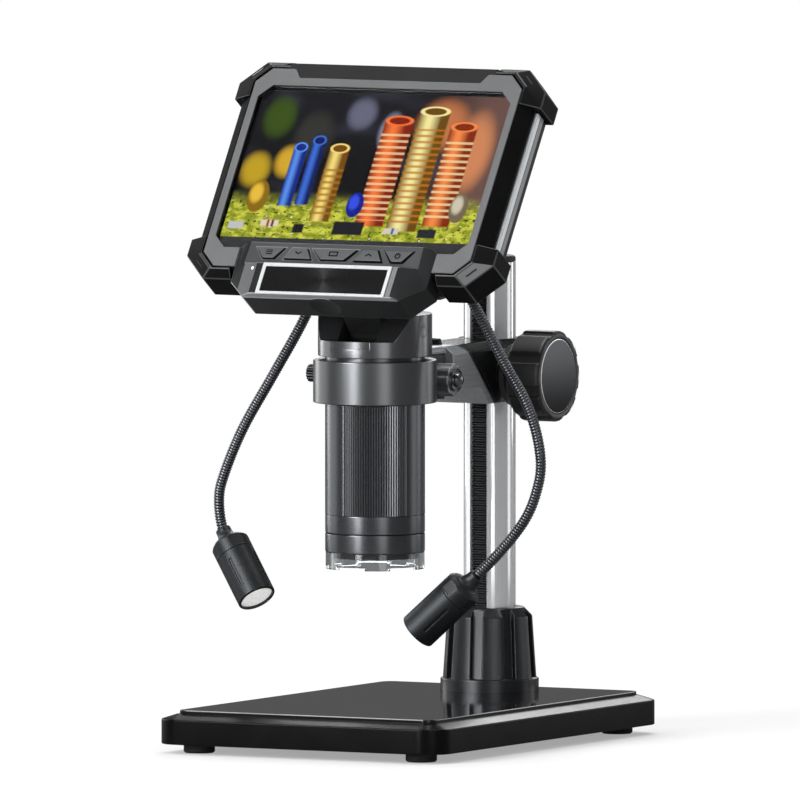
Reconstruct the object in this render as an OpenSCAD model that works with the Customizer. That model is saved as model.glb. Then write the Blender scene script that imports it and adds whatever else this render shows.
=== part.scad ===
// Digital microscope with a tilting display head, on a rack-and-pinion stand.
// The origin is on the optical axis, at the top face of the base plate.
// +Z is up, the display faces -Y, and the column stands behind the axis at +Y.

/* [Base] */
// Width of the base, side to side
base_w = 124; // [110:1:150]
// Depth of the base, front to back
base_l = 184; // [170:1:220]
// Distance from the optical axis back to the middle of the base
base_mid_y = 27.5; // [20:0.5:35]
// Corner radius of the base casting
base_corner_r = 10; // [8:0.5:14]
// Height of the casting's upright side wall
base_wall_h = 9.5; // [7:0.5:14]
// Height of the bevel above that wall
base_bevel_h = 1.9; // [1:0.1:3]
// How far the bevel runs inwards
base_bevel_w = 6; // [3:0.5:7]
// Thickness of the glossy top plate
plate_t = 3; // [2:0.25:4]
// How far the top plate stands above its bevelled surround
plate_proud = 1.4; // [0.8:0.1:1.8]
// Ledge between the bevel and the top plate
plate_ledge = 0.6; // [0.4:0.1:2]
// Radius of a rubber foot
foot_r = 6; // [4:0.5:8]
// Height of a foot below the casting
foot_h = 3.5; // [2:0.5:6]
// Depth that a foot is let into the casting
foot_sink = 1; // [0.5:0.25:2]
// Distance of each foot's middle from the side of the base
foot_side_inset = 14; // [11:0.5:20]
// Distance of each foot's middle from the front or back of the base
foot_end_inset = 12; // [11:0.5:20]

/* [Column] */
// Distance from the back of the base forward to the column's axis
column_inset = 26; // [22:0.5:34]
// Radius of the chromed column
column_r = 10; // [9:0.25:11]
// Height of the column's top above the plate
column_top = 165; // [150:1:200]
// Height at which the column starts, inside its socket
column_foot_z = 3; // [2:0.5:5]
// Width of the slot that the rack lies in
rack_slot_w = 7; // [6:0.25:8]
// Width of the rack
rack_w = 6.3; // [5:0.1:6.5]
// Module of the rack and pinion teeth
tooth_module = 0.6; // [0.5:0.05:0.7]
// Distance of the rack's pitch line from the column's axis
rack_pitch_d = 7.9; // [7.6:0.05:8.2]
// Height of the bottom of the rack and its slot
rack_foot_z = 20; // [15:1:30]
// Radius of the socket's round flange
socket_flange_r = 18.95; // [18:0.25:22]
// Height of that flange
socket_flange_h = 4.6; // [3:0.2:7]
// Radius of the socket just above the flange
socket_low_r = 18; // [16.5:0.25:18]
// Radius of the socket below its shoulder
socket_high_r = 16.4; // [15:0.2:17]
// Radius of the socket's top face
socket_top_r = 13; // [12:0.25:14]
// Height of the socket's shoulder
socket_shoulder_z = 28.5; // [24:0.5:30]
// Height of the socket's top
socket_top_z = 32; // [31:0.5:36]
// Grooves round the socket
socket_grooves = 8; // [6:1:10]
// Width of a groove of the socket
socket_groove_w = 4.4; // [3:0.2:6]
// Height of the column's end cap
column_cap_h = 2.4; // [1.5:0.1:4]

/* [Focus drive] */
// Height of the pinion's axis
focus_z = 122.6; // [121:0.1:125]
// Teeth of the pinion
pinion_teeth = 20; // [18:1:22]
// Radius of the pinion shaft
shaft_r = 2.5; // [2:0.1:3]
// Radius over the grips of the focus knob
knob_r = 17.5; // [15:0.25:19]
// Distance from the mid plane to the knob's outer end
knob_end_x = 37.4; // [34:0.2:42]
// Distance from the mid plane to where the knob's grips start
knob_grip_x = 24; // [22:0.5:28]
// Radius of the knob's inner skirt
knob_skirt_r = 12; // [10:0.25:13]
// Grips round the knob
knob_grips = 8; // [6:1:10]
// Width of the groove between two grips
knob_groove_w = 4.3; // [3:0.1:6]
// Depth of that groove
knob_groove_d = 1.1; // [0.6:0.1:1.6]
// Radius of the knob's end cap
knob_cap_r = 14.5; // [12:0.25:15]

/* [Carriage and arm] */
// Half the width of the carriage
carriage_half_w = 13; // [12:0.25:15]
// Height of the underside of the carriage
carriage_foot_z = 111.8; // [108:0.2:112]
// Height of the top of the carriage and of the arm
carriage_top_z = 135.6; // [133.5:0.2:140]
// Radius of the carriage round the column
carriage_r = 15.5; // [14.5:0.25:17]
// Thickness of the bush between the carriage and the column
bush_t = 1.5; // [1:0.1:2]
// Height of the bevel along the carriage's top edges
carriage_bevel = 3; // [1:0.25:4]
// Distance from the optical axis to the slanting joint face, at the carriage's top
seam_top_y = 49; // [47:0.5:51]
// Thickness of the shim plate in the slanting joint
shim_t = 1.7; // [1:0.1:2]
// Half the width of the arm's tongue between the ring's ears
tongue_half_w = 5; // [4:0.25:6]
// Thickness of each ear of the ring clamp
ear_t = 4.4; // [3:0.2:5]
// Radius of the ring clamp's outside
ring_r = 23.7; // [22.5:0.1:25]
// Height of the underside of the ring clamp
ring_foot_z = 116.2; // [115.8:0.1:117]
// Height of the ring clamp
ring_h = 16.4; // [15:0.1:17]
// Distance from the optical axis to the clamp screw
clamp_y = 33; // [31:0.25:35]
// Height of the clamp screw
clamp_z = 123.2; // [122:0.1:124.5]
// Radius of the fluted clamp knob
clamp_knob_r = 6.3; // [5:0.1:6.6]
// Length of the fluted clamp knob
clamp_knob_l = 7; // [5:0.25:9]
// Radius of the side thumbscrew's head
thumb_r = 3.4; // [2.5:0.1:4.5]

/* [Barrel] */
// Radius of the barrel
barrel_r = 19.1; // [18:0.1:20]
// Radius of the inner tube under the focus sleeve
tube_r = 16.4; // [15.8:0.1:17]
// Bore radius of the inner tube
tube_bore_r = 14.6; // [13.6:0.1:15]
// Height of the bottom of the clear hood
hood_foot_z = 52.6; // [50:0.2:54]
// Tabs along the hood's bottom edge
hood_tabs = 5; // [3:1:6]
// Angle that one tab takes up
hood_tab_a = 30; // [20:1:40]
// Height of a tab
hood_tab_h = 1.1; // [0.6:0.1:2]
// Height of the bottom of the black barrel
barrel_foot_z = 59.1; // [58:0.1:60]
// Height of the groove between the two plain rings
band_z = 66.3; // [64.5:0.1:68]
// Height of the bottom of the ribbed focus sleeve
sleeve_foot_z = 73.5; // [72:0.1:76]
// Ribbed panels round the focus sleeve
sleeve_panels = 3; // [2:1:4]
// Ribs in one panel
sleeve_ribs = 26; // [16:1:28]
// Angle between two ribs
sleeve_rib_step = 3.05; // [2.5:0.05:3.1]
// Depth of the grooves between ribs
sleeve_rib_d = 0.45; // [0.3:0.05:0.6]
// Radius of the collar above the ring clamp
collar_r = 21.85; // [21.2:0.05:23]
// Height of the bottom of the collar
collar_foot_z = 134; // [133.5:0.1:134.5]
// Height of the collar's front rim above its bottom
collar_rim_h = 6.4; // [5.5:0.1:8]
// Height of the collar
collar_h = 16.3; // [15.8:0.1:18]
// Distance in front of the axis at which the collar's slanting seat starts
seat_y = 14.8; // [13:0.1:16]
// Travel of the lens cell either way
lens_travel = 1.5; // [1:0.1:2]

/* [Display head] */
// Lean of the display back from upright
screen_tilt = 33.6; // [30:0.2:37]
// Distance of the display's middle in front of the optical axis
screen_y = 6.5; // [5:0.1:8]
// Height of the display's middle above the top of the collar
screen_rise = 56.1; // [53:0.1:60]
// Width of the lit display area
lcd_w = 108; // [100:0.5:109]
// Height of the lit display area
lcd_h = 64.8; // [60:0.2:66]
// Half the width of the head's casing
case_half_w = 62.7; // [62.2:0.1:65]
// Top of the casing above the display's middle
case_top = 43; // [42.5:0.1:45]
// Bottom of the casing below the display's middle
case_bottom = 48; // [47.5:0.1:48.5]
// Corner cut of the casing
case_cut = 8.5; // [7:0.25:10]
// Depth of the casing behind the display's face
case_depth = 14; // [13:0.25:16]
// Wall thickness of the casing
case_wall = 1.8; // [1.4:0.1:2.4]
// Half the width of the grey bezel
bezel_half_w = 57.7; // [57:0.1:58]
// Top of the bezel above the display's middle
bezel_top = 41; // [40.5:0.1:41.5]
// Bottom of the bezel below the display's middle
bezel_bottom = 46.6; // [46:0.1:47]
// Corner cut of the bezel
bezel_cut = 6; // [5:0.25:8]
// Thickness of the bezel
bezel_t = 1.5; // [1.2:0.1:2]
// Half the width of the opening in the bezel
window_half_w = 54.6; // [54:0.1:55]
// Top of that opening
window_top = 33.6; // [33.2:0.1:34.5]
// Bottom of that opening
window_bottom = 38.3; // [37.5:0.1:39]
// Corner cut of that opening
window_cut = 5; // [3:0.25:6]
// How far the rubber corners stand out at the sides of the casing
bumper_out_side = 3.7; // [2.8:0.1:5]
// How far the rubber corners stand out over the top of the casing
bumper_out_top = 2.5; // [1.8:0.1:4]
// How far the rubber corners stand out under the casing
bumper_out_bottom = 2.7; // [2:0.1:4]
// Length of a rubber corner up the side
bumper_side = 17; // [14:0.5:22]
// Length of a rubber corner along the top
bumper_along = 22; // [20:0.5:24]
// Depth of the battery housing behind the casing
housing_depth = 15.2; // [13:0.2:15.2]
// Half the width of the battery housing
housing_half_w = 34; // [31:0.5:40]

/* [Console and buttons] */
// Half the width of the console at its base
console_half_w = 42.5; // [42:0.25:43]
// Top edge of the console below the display's middle
console_top = 36.2; // [35.8:0.1:36.6]
// Underside of the console below the display's middle
console_bottom = 61.5; // [61:0.1:64]
// Height of the button bank above the display's face
bank_w = 4.3; // [4:0.1:4.6]
// Height of the console's lower plateau above the display's face
plateau_w = 6.2; // [5.6:0.1:6.8]
// How far the buttons stand above the bank
button_proud = 0.8; // [0.7:0.1:1.2]
// Travel of a button
button_travel = 0.6; // [0.4:0.05:0.7]
// Gap between a button and the edge of its hole
button_gap = 0.25; // [0.15:0.05:0.4]
// Half the width of the dark grained panel
grain_half_w = 26.2; // [24:0.1:27]
// Half the height of the dark grained panel
grain_half_h = 5.4; // [4.5:0.1:5.6]
// Width of the bright frame round the grained panel
grain_frame = 1.6; // [1:0.1:1.8]

/* [Lamps] */
// Radius of the gooseneck over its ribs
neck_r = 2.1; // [1.8:0.05:2.3]
// Depth of the grooves between the gooseneck's ribs
neck_groove = 0.35; // [0.2:0.05:0.5]
// Distance from one rib to the next
neck_pitch = 1.1; // [1.05:0.05:1.6]
// Bore radius of the gooseneck
neck_bore_r = 0.8; // [0.5:0.1:1]
// Half the gap at each flexing point of a gooseneck
neck_gap = 0.45; // [0.42:0.01:0.48]
// Radius of a lamp head
lamp_r = 7.5; // [6.5:0.1:8.5]
// Length of a lamp head
lamp_l = 27.6; // [24:0.2:32]
// Length of the lamp's screwed rear cap
lamp_cap_l = 7; // [5:0.25:9]
// Length of the flared collar between gooseneck and lamp
lamp_bell_l = 5.5; // [4.5:0.1:7]

/* [Hidden] */
$fn = 96;
run = 0.06;            // running clearance of shafts and sleeves, on the radius
seat = 0.05;           // clearance between pieces that are fitted together
eps = 0.01;

// base levels, down from the plate's top face
bevel_top_z = -plate_proud;
wall_top_z = bevel_top_z - base_bevel_h;
base_foot_z = wall_top_z - base_wall_h;
ground_z = base_foot_z - foot_h;
plate_half_w = base_w/2 - base_bevel_w - plate_ledge;
plate_half_l = base_l/2 - base_bevel_w - plate_ledge;
plate_corner_r = base_corner_r - base_bevel_w + plate_ledge;
foot_x = base_w/2 - foot_side_inset;
foot_y = base_l/2 - foot_end_inset;
foot_screw_r = 2;
foot_screw_head_r = 3.4;
column_bolt_r = 3;
column_bolt_head_r = 5.5;

// rack and pinion
column_y = base_mid_y + base_l/2 - column_inset;
tooth_pitch = PI*tooth_module;
rack_face_y = column_y - rack_pitch_d;
rack_tip_y = rack_face_y - tooth_module;
rack_root_y = rack_face_y + 1.25*tooth_module;
rack_back_y = rack_root_y + 0.95;
pinion_r = tooth_module*pinion_teeth/2;
pinion_y = rack_face_y - pinion_r;
pinion_half_w = 2.8;
bush_l = 3.6;
tooth_backlash = 0.2;
pressure = 20;

// carriage
boss_r = 5.9;
boss_x = carriage_half_w + 4;
knob_start_x = boss_x + 0.4;
seam_foot_y = seam_top_y + carriage_top_z - carriage_foot_z;
shim_dy = shim_t*sqrt(2);
arm_step_z = carriage_foot_z + 6.6;
arm_flange_y = 4.2;
arm_screw_y = seam_top_y - 2;

// ring clamp and arm
ring_top_z = ring_foot_z + ring_h;
ring_bore_r = barrel_r + run;
ear_x = tongue_half_w + 0.15;
ear_end_y = clamp_y + 6;
roof_z = ring_top_z + 0.2;
roof_y = ring_r + 0.6;
clamp_screw_r = 1.95;
thumb_z = 126.5;
thumb_screw_r = 1.5;

// barrel
led_ring_r = 16.6;
led_ring_h = 2.3;
band_gap = 0.2;
sleeve_bore_r = tube_r + run;
sleeve_top_z = ring_foot_z - 0.5;
led_ring_bore_r = 8;
collar_rim_z = collar_foot_z + collar_rim_h;
collar_top_z = collar_foot_z + collar_h;
cell_r = tube_bore_r - run;
cell_z = 84;
cell_h = 16;
key_z = cell_z + cell_h/2;
key_r = 1;
screen_z = collar_top_z + screen_rise;
hinge_y = -1.5;
hinge_z = collar_top_z - 6.6;
hinge_pin_r = 2;
lug_half_w = 8;
lug_r = 5.6;

bumper_half_w = case_half_w + bumper_out_side;
bumper_top = case_top + bumper_out_top;
bumper_bottom = case_bottom + bumper_out_bottom;

// display head: levels along the display's normal, from its face
glass_t = 0.9;
glass_w = 0.05;
ledge_w = glass_w + glass_t + seat;
rim_w = 2.3;
bezel_w = ledge_w + seat;
frame_back = -3;
shell_back = -case_depth;
housing_back = shell_back - housing_depth;
bevel_w = -1.2;
panel_half_w = case_half_w - 4.2;
panel_half_h = case_top - 5.8;
panel_t = 2.95;
notch_half_w = 39;
notch_bottom = 37.2;
housing_top = 20;
housing_bottom = 43.5;
screw_u = case_half_w - 12.7;
screw_v = case_top - 2.9;
screw_drop = case_bottom - 5;
screw_r = 1.05;
screw_head_r = 2.1;
board_half_w = case_half_w - 12.7;
board_top = case_top - 15;
board_bottom = case_bottom - 16;
peg_inset = 4;

// buttons: [middle, half width of top edge, half width of bottom edge]
button_top_v = -39.2;
button_foot_v = -43.9;
MENU = [-27.7, 6.1, 2.3];
DOWN = [-15.2, 3.1, 5.9];
SELECT = [0, 9.6, 5.0];
UP = [15.2, 3.1, 5.9];
POWER = [27.7, 6.1, 2.3];

// console
grain_v = -53.9;
console_back = -8;

// goosenecks: [root, points of the upper run, bend, points of the lower run, lamp joint]
LEFT = [[-24.5, 12.5, screen_z - 33.9],
        [[-37, 12.5, 147], [-50.5, 12.5, 125]],
        [-64.5, 13.5, 103.5],
        [[-74, 15.5, 85], [-77, 17, 75]],
        [-76, 18, 64]];
RIGHT = [[24.5, 12.5, screen_z - 33.9],
         [[37, 12.5, 152.5], [49, 12.5, 132.5], [60, 12, 115]],
         [65.5, 11, 98],
         [[65, 10, 85], [58.5, 8.5, 70]],
         [41.5, 5.5, 51]];
LEFT_AIM = [0.59, -0.26, -0.765];
RIGHT_AIM = [-0.735, -0.09, -0.672];
LEFT_END = [0.45, -0.2, -0.87];
neck_sides = 8;
neck_straight = 2*neck_r;
bore_every = 10;
socket_back = 7;
nozzle_l = 18;
nozzle_r = neck_r + 3.4;

// ---------- small helpers ----------

module rounded_slab(half_w, half_l, r, h) {
    translate([-half_w + r, -half_l, 0]) cube([2*(half_w - r), 2*half_l, h]);
    translate([-half_w, -half_l + r, 0]) cube([2*half_w, 2*(half_l - r), h]);
    for (x = [-1, 1], y = [-1, 1])
        translate([x*(half_w - r), y*(half_l - r), 0]) cylinder(r = r, h = h);
}

// a bevelled top for the slab above: straight prisms with a cone at each corner
module bevelled_slab(half_w, half_l, r, h, inset) {
    rotate([90, 0, 0])
        linear_extrude(2*(half_l - r), center = true)
            polygon([[-half_w, 0], [half_w, 0], [half_w - inset, h], [-half_w + inset, h]]);
    rotate([90, 0, 90])
        linear_extrude(2*(half_w - r), center = true)
            polygon([[-half_l, 0], [half_l, 0], [half_l - inset, h], [-half_l + inset, h]]);
    for (x = [-1, 1], y = [-1, 1])
        translate([x*(half_w - r), y*(half_l - r), 0]) cylinder(r1 = r, r2 = r - inset, h = h);
}

module tube(r_out, r_in, h) {
    difference() {
        cylinder(r = r_out, h = h);
        translate([0, 0, -1]) cylinder(r = r_in, h = h + 2);
    }
}

module x_cylinder(r, x0, x1) {
    translate([x0, 0, 0]) rotate([0, 90, 0]) cylinder(r = r, h = x1 - x0);
}

// outline of a box with cut corners, from its half width, top, bottom and corner cut
function cut_box(hw, top, bottom, c) =
    [[-hw + c, -bottom], [hw - c, -bottom], [hw, -bottom + c], [hw, top - c],
     [hw - c, top], [-hw + c, top], [-hw, top - c], [-hw, -bottom + c]];

module cut_plate(hw, top, bottom, c, w0, w1) {
    translate([0, 0, w0]) linear_extrude(w1 - w0) polygon(cut_box(hw, top, bottom, c));
}

module box_to(a, b) {
    translate(a) cube(b - a);
}

// places its children in the display's own frame: x across, y up the display, z out of it
module head() {
    translate([0, -screen_y, screen_z]) rotate([90 - screen_tilt, 0, 0]) children();
}

// extrudes a (y, z) outline symmetrically across the mid plane
module across(half_w, outline) {
    rotate([90, 0, 90]) linear_extrude(2*half_w, center = true) polygon(outline);
}

// places its children at p with their +Z along d
module along(p, d) {
    u = unit(d);
    translate(p) rotate([0, acos(u.z), atan2(u.y, u.x)]) children();
}

function unit(v) = v/norm(v);

// ---------- stand ----------

module foot_places() {
    for (x = [-foot_x, foot_x], y = [-foot_y, foot_y])
        translate([x, base_mid_y + y, 0]) children();
}

module base_casting() {
    color("#101112")
    difference() {
        translate([0, base_mid_y, 0]) {
            translate([0, 0, base_foot_z])
                rounded_slab(base_w/2, base_l/2, base_corner_r, base_wall_h);
            translate([0, 0, wall_top_z])
                bevelled_slab(base_w/2, base_l/2, base_corner_r, base_bevel_h, base_bevel_w);
        }
        translate([0, base_mid_y, -plate_t])
            rounded_slab(plate_half_w + seat, plate_half_l + seat, plate_corner_r, plate_t);
        foot_places() {
            translate([0, 0, base_foot_z - 1]) cylinder(r = foot_r + seat, h = foot_sink + 1);
            translate([0, 0, base_foot_z]) cylinder(r = foot_screw_r + seat, h = 6);
        }
        translate([0, column_y, base_foot_z - 1]) {
            cylinder(r = column_bolt_r + seat, h = base_wall_h + 4);
            cylinder(r = column_bolt_head_r + 0.5, h = 5);
        }
    }
}

module top_plate() {
    color("#0a0a0b")
    difference() {
        translate([0, base_mid_y, -plate_t])
            rounded_slab(plate_half_w, plate_half_l, plate_corner_r, plate_t);
        translate([0, column_y, -plate_t - 1]) cylinder(r = socket_flange_r + seat, h = plate_t + 2);
    }
}

module rubber_feet() {
    color("#1b1b1b")
    foot_places()
        translate([0, 0, ground_z])
            rotate_extrude()
                polygon([[foot_screw_r + seat, 1.8], [foot_screw_head_r + 0.3, 1.8],
                         [foot_screw_head_r + 0.3, 0], [foot_r - 0.6, 0], [foot_r, 0.6],
                         [foot_r, foot_h + foot_sink], [foot_screw_r + seat, foot_h + foot_sink]]);
}

module base_screws() {
    color("silver") {
        foot_places()
            translate([0, 0, ground_z + 0.4]) {
                cylinder(r = foot_screw_head_r, h = 1.4);
                cylinder(r = foot_screw_r, h = foot_h + 5);
            }
        translate([0, column_y, base_foot_z + 0.6]) {
            cylinder(r = column_bolt_head_r, h = 3.4);
            cylinder(r = column_bolt_r, h = column_foot_z + 12 - base_foot_z);
        }
    }
}

module column_socket() {
    color("#141516")
    translate([0, column_y, 0])
    difference() {
        rotate_extrude()
            polygon([[column_bolt_r + seat, -plate_t], [socket_flange_r, -plate_t],
                     [socket_flange_r, socket_flange_h], [socket_low_r, socket_flange_h],
                     [socket_high_r, socket_shoulder_z], [socket_top_r, socket_top_z],
                     [column_r + seat, socket_top_z], [column_r + seat, column_foot_z],
                     [column_bolt_r + seat, column_foot_z]]);
        for (i = [0:socket_grooves - 1])
            rotate(i*360/socket_grooves + 10)
                translate([socket_high_r - 1, -socket_groove_w/2, socket_flange_h])
                    rotate([0, -atan((socket_low_r - socket_high_r)
                                     /(socket_shoulder_z - socket_flange_h)), 0])
                        cube([6, socket_groove_w, socket_top_z]);
    }
}

module column() {
    color("#d9dadb")
    difference() {
        translate([0, column_y, column_foot_z])
            cylinder(r = column_r, h = column_top - column_foot_z);
        box_to([-rack_slot_w/2, column_y - column_r - 1, rack_foot_z],
               [rack_slot_w/2, rack_back_y + seat, column_top + 1]);
        translate([0, column_y, column_foot_z - 1]) cylinder(r = column_bolt_r + seat, h = 14);
        translate([0, column_y, column_top - 5]) cylinder(r = 3 + seat, h = 6);
    }
}

// teeth stand clear of the pinion's own, with a space straight behind its axis
rack_top_z = column_top - 0.5;
rack_low_n = ceil((rack_foot_z + 1 - focus_z)/tooth_pitch);
rack_high_n = floor((rack_top_z - 1 - focus_z)/tooth_pitch) - 1;
rack_half_t = tooth_pitch/4 - tooth_backlash/4;

module rack() {
    slope = tan(pressure);
    tip = rack_half_t - tooth_module*slope;
    root = rack_half_t + 1.25*tooth_module*slope;
    color("#1c1d1e")
    across(rack_w/2, concat(
        [[rack_back_y, rack_foot_z + 0.3]],
        [[rack_root_y, rack_foot_z + 0.3]],
        [for (n = [rack_low_n:rack_high_n])
            for (p = [[rack_root_y, -root], [rack_tip_y, -tip], [rack_tip_y, tip], [rack_root_y, root]])
                [p.x, focus_z + (n + 0.5)*tooth_pitch + p.y]],
        [[rack_root_y, rack_top_z], [rack_back_y, rack_top_z]]));
}

module column_cap() {
    color("#161616")
    translate([0, column_y, column_top])
    rotate_extrude()
        polygon([[0, -4], [3, -4], [3, 0], [column_r, 0], [column_r, column_cap_h - 0.8],
                 [column_r - 0.8, column_cap_h], [0, column_cap_h]]);
}

// ---------- carriage, arm and ring clamp ----------

// the slanting joint falls back from the top front to the bottom rear
function seam_y(z) = seam_top_y + carriage_top_z - z;

module bevelled_bar(half_w, y0, y1, z0, z1, bevel) {
    translate([0, y1, 0]) rotate([90, 0, 0]) linear_extrude(y1 - y0)
        polygon([[-half_w, z0], [half_w, z0], [half_w, z1 - bevel], [half_w - 1.3*bevel, z1],
                 [-half_w + 1.3*bevel, z1], [-half_w, z1 - bevel]]);
}

module carriage() {
    slope_y = seam_top_y + shim_dy;
    color("#18191a")
    difference() {
        union() {
            intersection() {
                bevelled_bar(carriage_half_w, seam_top_y, column_y, carriage_foot_z,
                             carriage_top_z, carriage_bevel);
                across(carriage_half_w + 1,
                    [[slope_y, carriage_top_z], [column_y, carriage_top_z],
                     [column_y, carriage_foot_z],
                     [slope_y + carriage_top_z - carriage_foot_z, carriage_foot_z]]);
            }
            translate([0, column_y, carriage_foot_z]) {
                cylinder(r = carriage_r, h = carriage_top_z - carriage_bevel - carriage_foot_z);
                translate([0, 0, carriage_top_z - carriage_bevel - carriage_foot_z])
                    cylinder(r1 = carriage_r, r2 = carriage_r - 1.3*carriage_bevel,
                             h = carriage_bevel);
            }
            translate([0, pinion_y, focus_z]) {
                x_cylinder(boss_r, -boss_x + 3.2, boss_x - 0.6);
                translate([boss_x - 0.6, 0, 0]) rotate([0, 90, 0])
                    cylinder(r1 = boss_r, r2 = boss_r - 0.6, h = 0.6);
            }
        }
        translate([0, column_y, carriage_foot_z - 1])
            cylinder(r = column_r + run + bush_t, h = carriage_top_z - carriage_foot_z + 2);
        translate([0, pinion_y, focus_z]) {
            x_cylinder(pinion_r + tooth_module + 0.5, -pinion_half_w - 0.3, pinion_half_w + 0.3);
            x_cylinder(shaft_r + 1.2, -boss_x, boss_x + 1);
        }
        box_to([-pinion_half_w - 0.3, pinion_y, focus_z - pinion_r - 1.1],
               [pinion_half_w + 0.3, column_y, focus_z + pinion_r + 1.1]);
    }
}

module carriage_bushes() {
    color("#e8e6df") {
        for (z = [carriage_foot_z + 0.3, carriage_top_z - bush_l - 0.3])
            translate([0, column_y, z])
                tube(column_r + run + bush_t - seat, column_r + run, bush_l);
        translate([0, pinion_y, focus_z])
            for (x = [[-boss_x + 3.2, -pinion_half_w - 0.4], [pinion_half_w + 0.4, boss_x]])
                difference() {
                    x_cylinder(shaft_r + 1.2 - seat, x[0], x[1]);
                    x_cylinder(shaft_r + run, x[0] - 1, x[1] + 1);
                }
    }
}

module joint_shim() {
    color("#8d9092")
    difference() {
        intersection() {
            bevelled_bar(carriage_half_w, seam_top_y, seam_foot_y + shim_dy, carriage_foot_z,
                         carriage_top_z, carriage_bevel);
            across(carriage_half_w + 1,
                [[seam_top_y + seat, carriage_top_z],
                 [seam_top_y + shim_dy - seat, carriage_top_z],
                 [seam_foot_y + shim_dy - seat, carriage_foot_z],
                 [seam_foot_y + seat, carriage_foot_z]]);
        }
        joint_screw_holes(seat);
    }
}

// two screws pull the arm square against the slanting face
module joint_screw_holes(extra) {
    for (x = [-7, 7])
        translate([x, seam_y(carriage_top_z - 9), carriage_top_z - 9])
            rotate([-135, 0, 0])
                translate([0, 0, -9]) cylinder(r = 1.5 + extra, h = 16);
}

module arm() {
    color("#3a3c3e")
    difference() {
        union() {
            intersection() {
                bevelled_bar(carriage_half_w, ear_end_y + 0.3, seam_foot_y, carriage_foot_z,
                             carriage_top_z, carriage_bevel);
                across(carriage_half_w + 1,
                    [[ear_end_y + 0.3, carriage_top_z], [seam_top_y, carriage_top_z],
                     [seam_foot_y, carriage_foot_z], [seam_foot_y - arm_flange_y, carriage_foot_z],
                     [seam_y(arm_step_z) - arm_flange_y, arm_step_z],
                     [ear_end_y + 3, arm_step_z], [ear_end_y + 0.3, arm_step_z + 3]]);
            }
            bevelled_bar(ear_x + ear_t, roof_y, ear_end_y + 0.4, roof_z, carriage_top_z, 1.2);
            box_to([-tongue_half_w, ring_r - 2.2, ring_foot_z + 1],
                   [tongue_half_w, ear_end_y + 1, roof_z + 0.5]);
        }
        translate([0, clamp_y, clamp_z])
            x_cylinder(clamp_screw_r + run, -tongue_half_w - 1, tongue_half_w + 1);
        translate([0, arm_screw_y, carriage_top_z - 8]) cylinder(r = 2 + seat, h = 9);
        joint_screw_holes(seat);
    }
}

module arm_fasteners() {
    color("#222324") {
        translate([0, arm_screw_y, carriage_top_z + seat])
            difference() {
                cylinder(r1 = 3.7, r2 = 3, h = 2.2);
                translate([0, 0, 1]) cylinder(r = 1.5, h = 2, $fn = 6);
            }
        translate([0, arm_screw_y, carriage_top_z - 7.5]) cylinder(r = 2, h = 7.6);
        translate([0, clamp_y, clamp_z])
            difference() {
                translate([-ear_x - ear_t - 3 - seat, 0, 0]) rotate([0, 90, 0])
                    cylinder(r = 4, h = 3, $fn = 6);
                x_cylinder(clamp_screw_r + run, -ear_x - ear_t - 4, -ear_x - ear_t + 1);
            }
    }
}

module ring_clamp() {
    color("#2b2d2f")
    difference() {
        union() {
            translate([0, 0, ring_foot_z]) cylinder(r = ring_r, h = ring_h);
            for (s = [-1, 1])
                translate([s > 0 ? ear_x : -ear_x - ear_t, ring_r - 5, ring_foot_z - 0.8])
                    cube([ear_t, ear_end_y - ring_r + 5, ring_h + 0.8]);
        }
        translate([0, 0, ring_foot_z - 2]) cylinder(r = ring_bore_r, h = ring_h + 4);
        box_to([-ear_x, 0, ring_foot_z - 2], [ear_x, ear_end_y + 1, ring_top_z + 2]);
        translate([0, clamp_y, clamp_z])
            x_cylinder(clamp_screw_r + run, -ear_x - ear_t - 1, ear_x + ear_t + 1);
        translate([0, 0, thumb_z]) x_cylinder(thumb_screw_r + run, -ring_r - 1, -barrel_r + 1);
    }
}

module side_thumbscrew() {
    color("#1a1a1a")
    translate([0, 0, thumb_z]) {
        x_cylinder(thumb_screw_r, -ring_r - 0.5, -barrel_r - 0.4);
        difference() {
            x_cylinder(thumb_r, -ring_r - 4.6, -ring_r - 0.3);
            for (i = [0:15])
                rotate([i*22.5, 0, 0])
                    translate([-ring_r - 5, thumb_r, 0])
                        rotate([45, 0, 0]) cube([5.2, 0.6, 0.6]);
        }
    }
}

module clamp_knob() {
    knob_x = ear_x + ear_t + 0.3;
    color("#4a4c4e")
    translate([0, clamp_y, clamp_z])
    difference() {
        x_cylinder(clamp_knob_r, knob_x, knob_x + clamp_knob_l);
        x_cylinder(clamp_screw_r + seat, knob_x - 1, knob_x + clamp_knob_l + 1);
        for (i = [0:7])
            rotate([i*45 + 22.5, 0, 0])
                translate([0, clamp_knob_r + 0.9, 0])
                    x_cylinder(1.6, knob_x - 1, knob_x + clamp_knob_l + 1);
    }
}

module clamp_bolt() {
    end_x = ear_x + ear_t + 0.3 + clamp_knob_l;
    color("#c4c6c8")
    translate([0, clamp_y, clamp_z]) {
        x_cylinder(clamp_screw_r, -ear_x - ear_t - 3.6, end_x + 0.5);
        x_cylinder(4.4, end_x + seat, end_x + 1.2);
        translate([end_x + 1.2, 0, 0])
            rotate([0, 90, 0]) rotate_extrude()
                polygon(concat([[0, 0]], [for (a = [0:15:90]) [2.9*cos(a), 2.4*sin(a)]]));
    }
}

// ---------- focus knob ----------

function involute(base, t) = [base*(cos(t) + t*PI/180*sin(t)), base*(sin(t) - t*PI/180*cos(t))];
function turn(p, a) = [p.x*cos(a) - p.y*sin(a), p.x*sin(a) + p.y*cos(a)];

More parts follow.
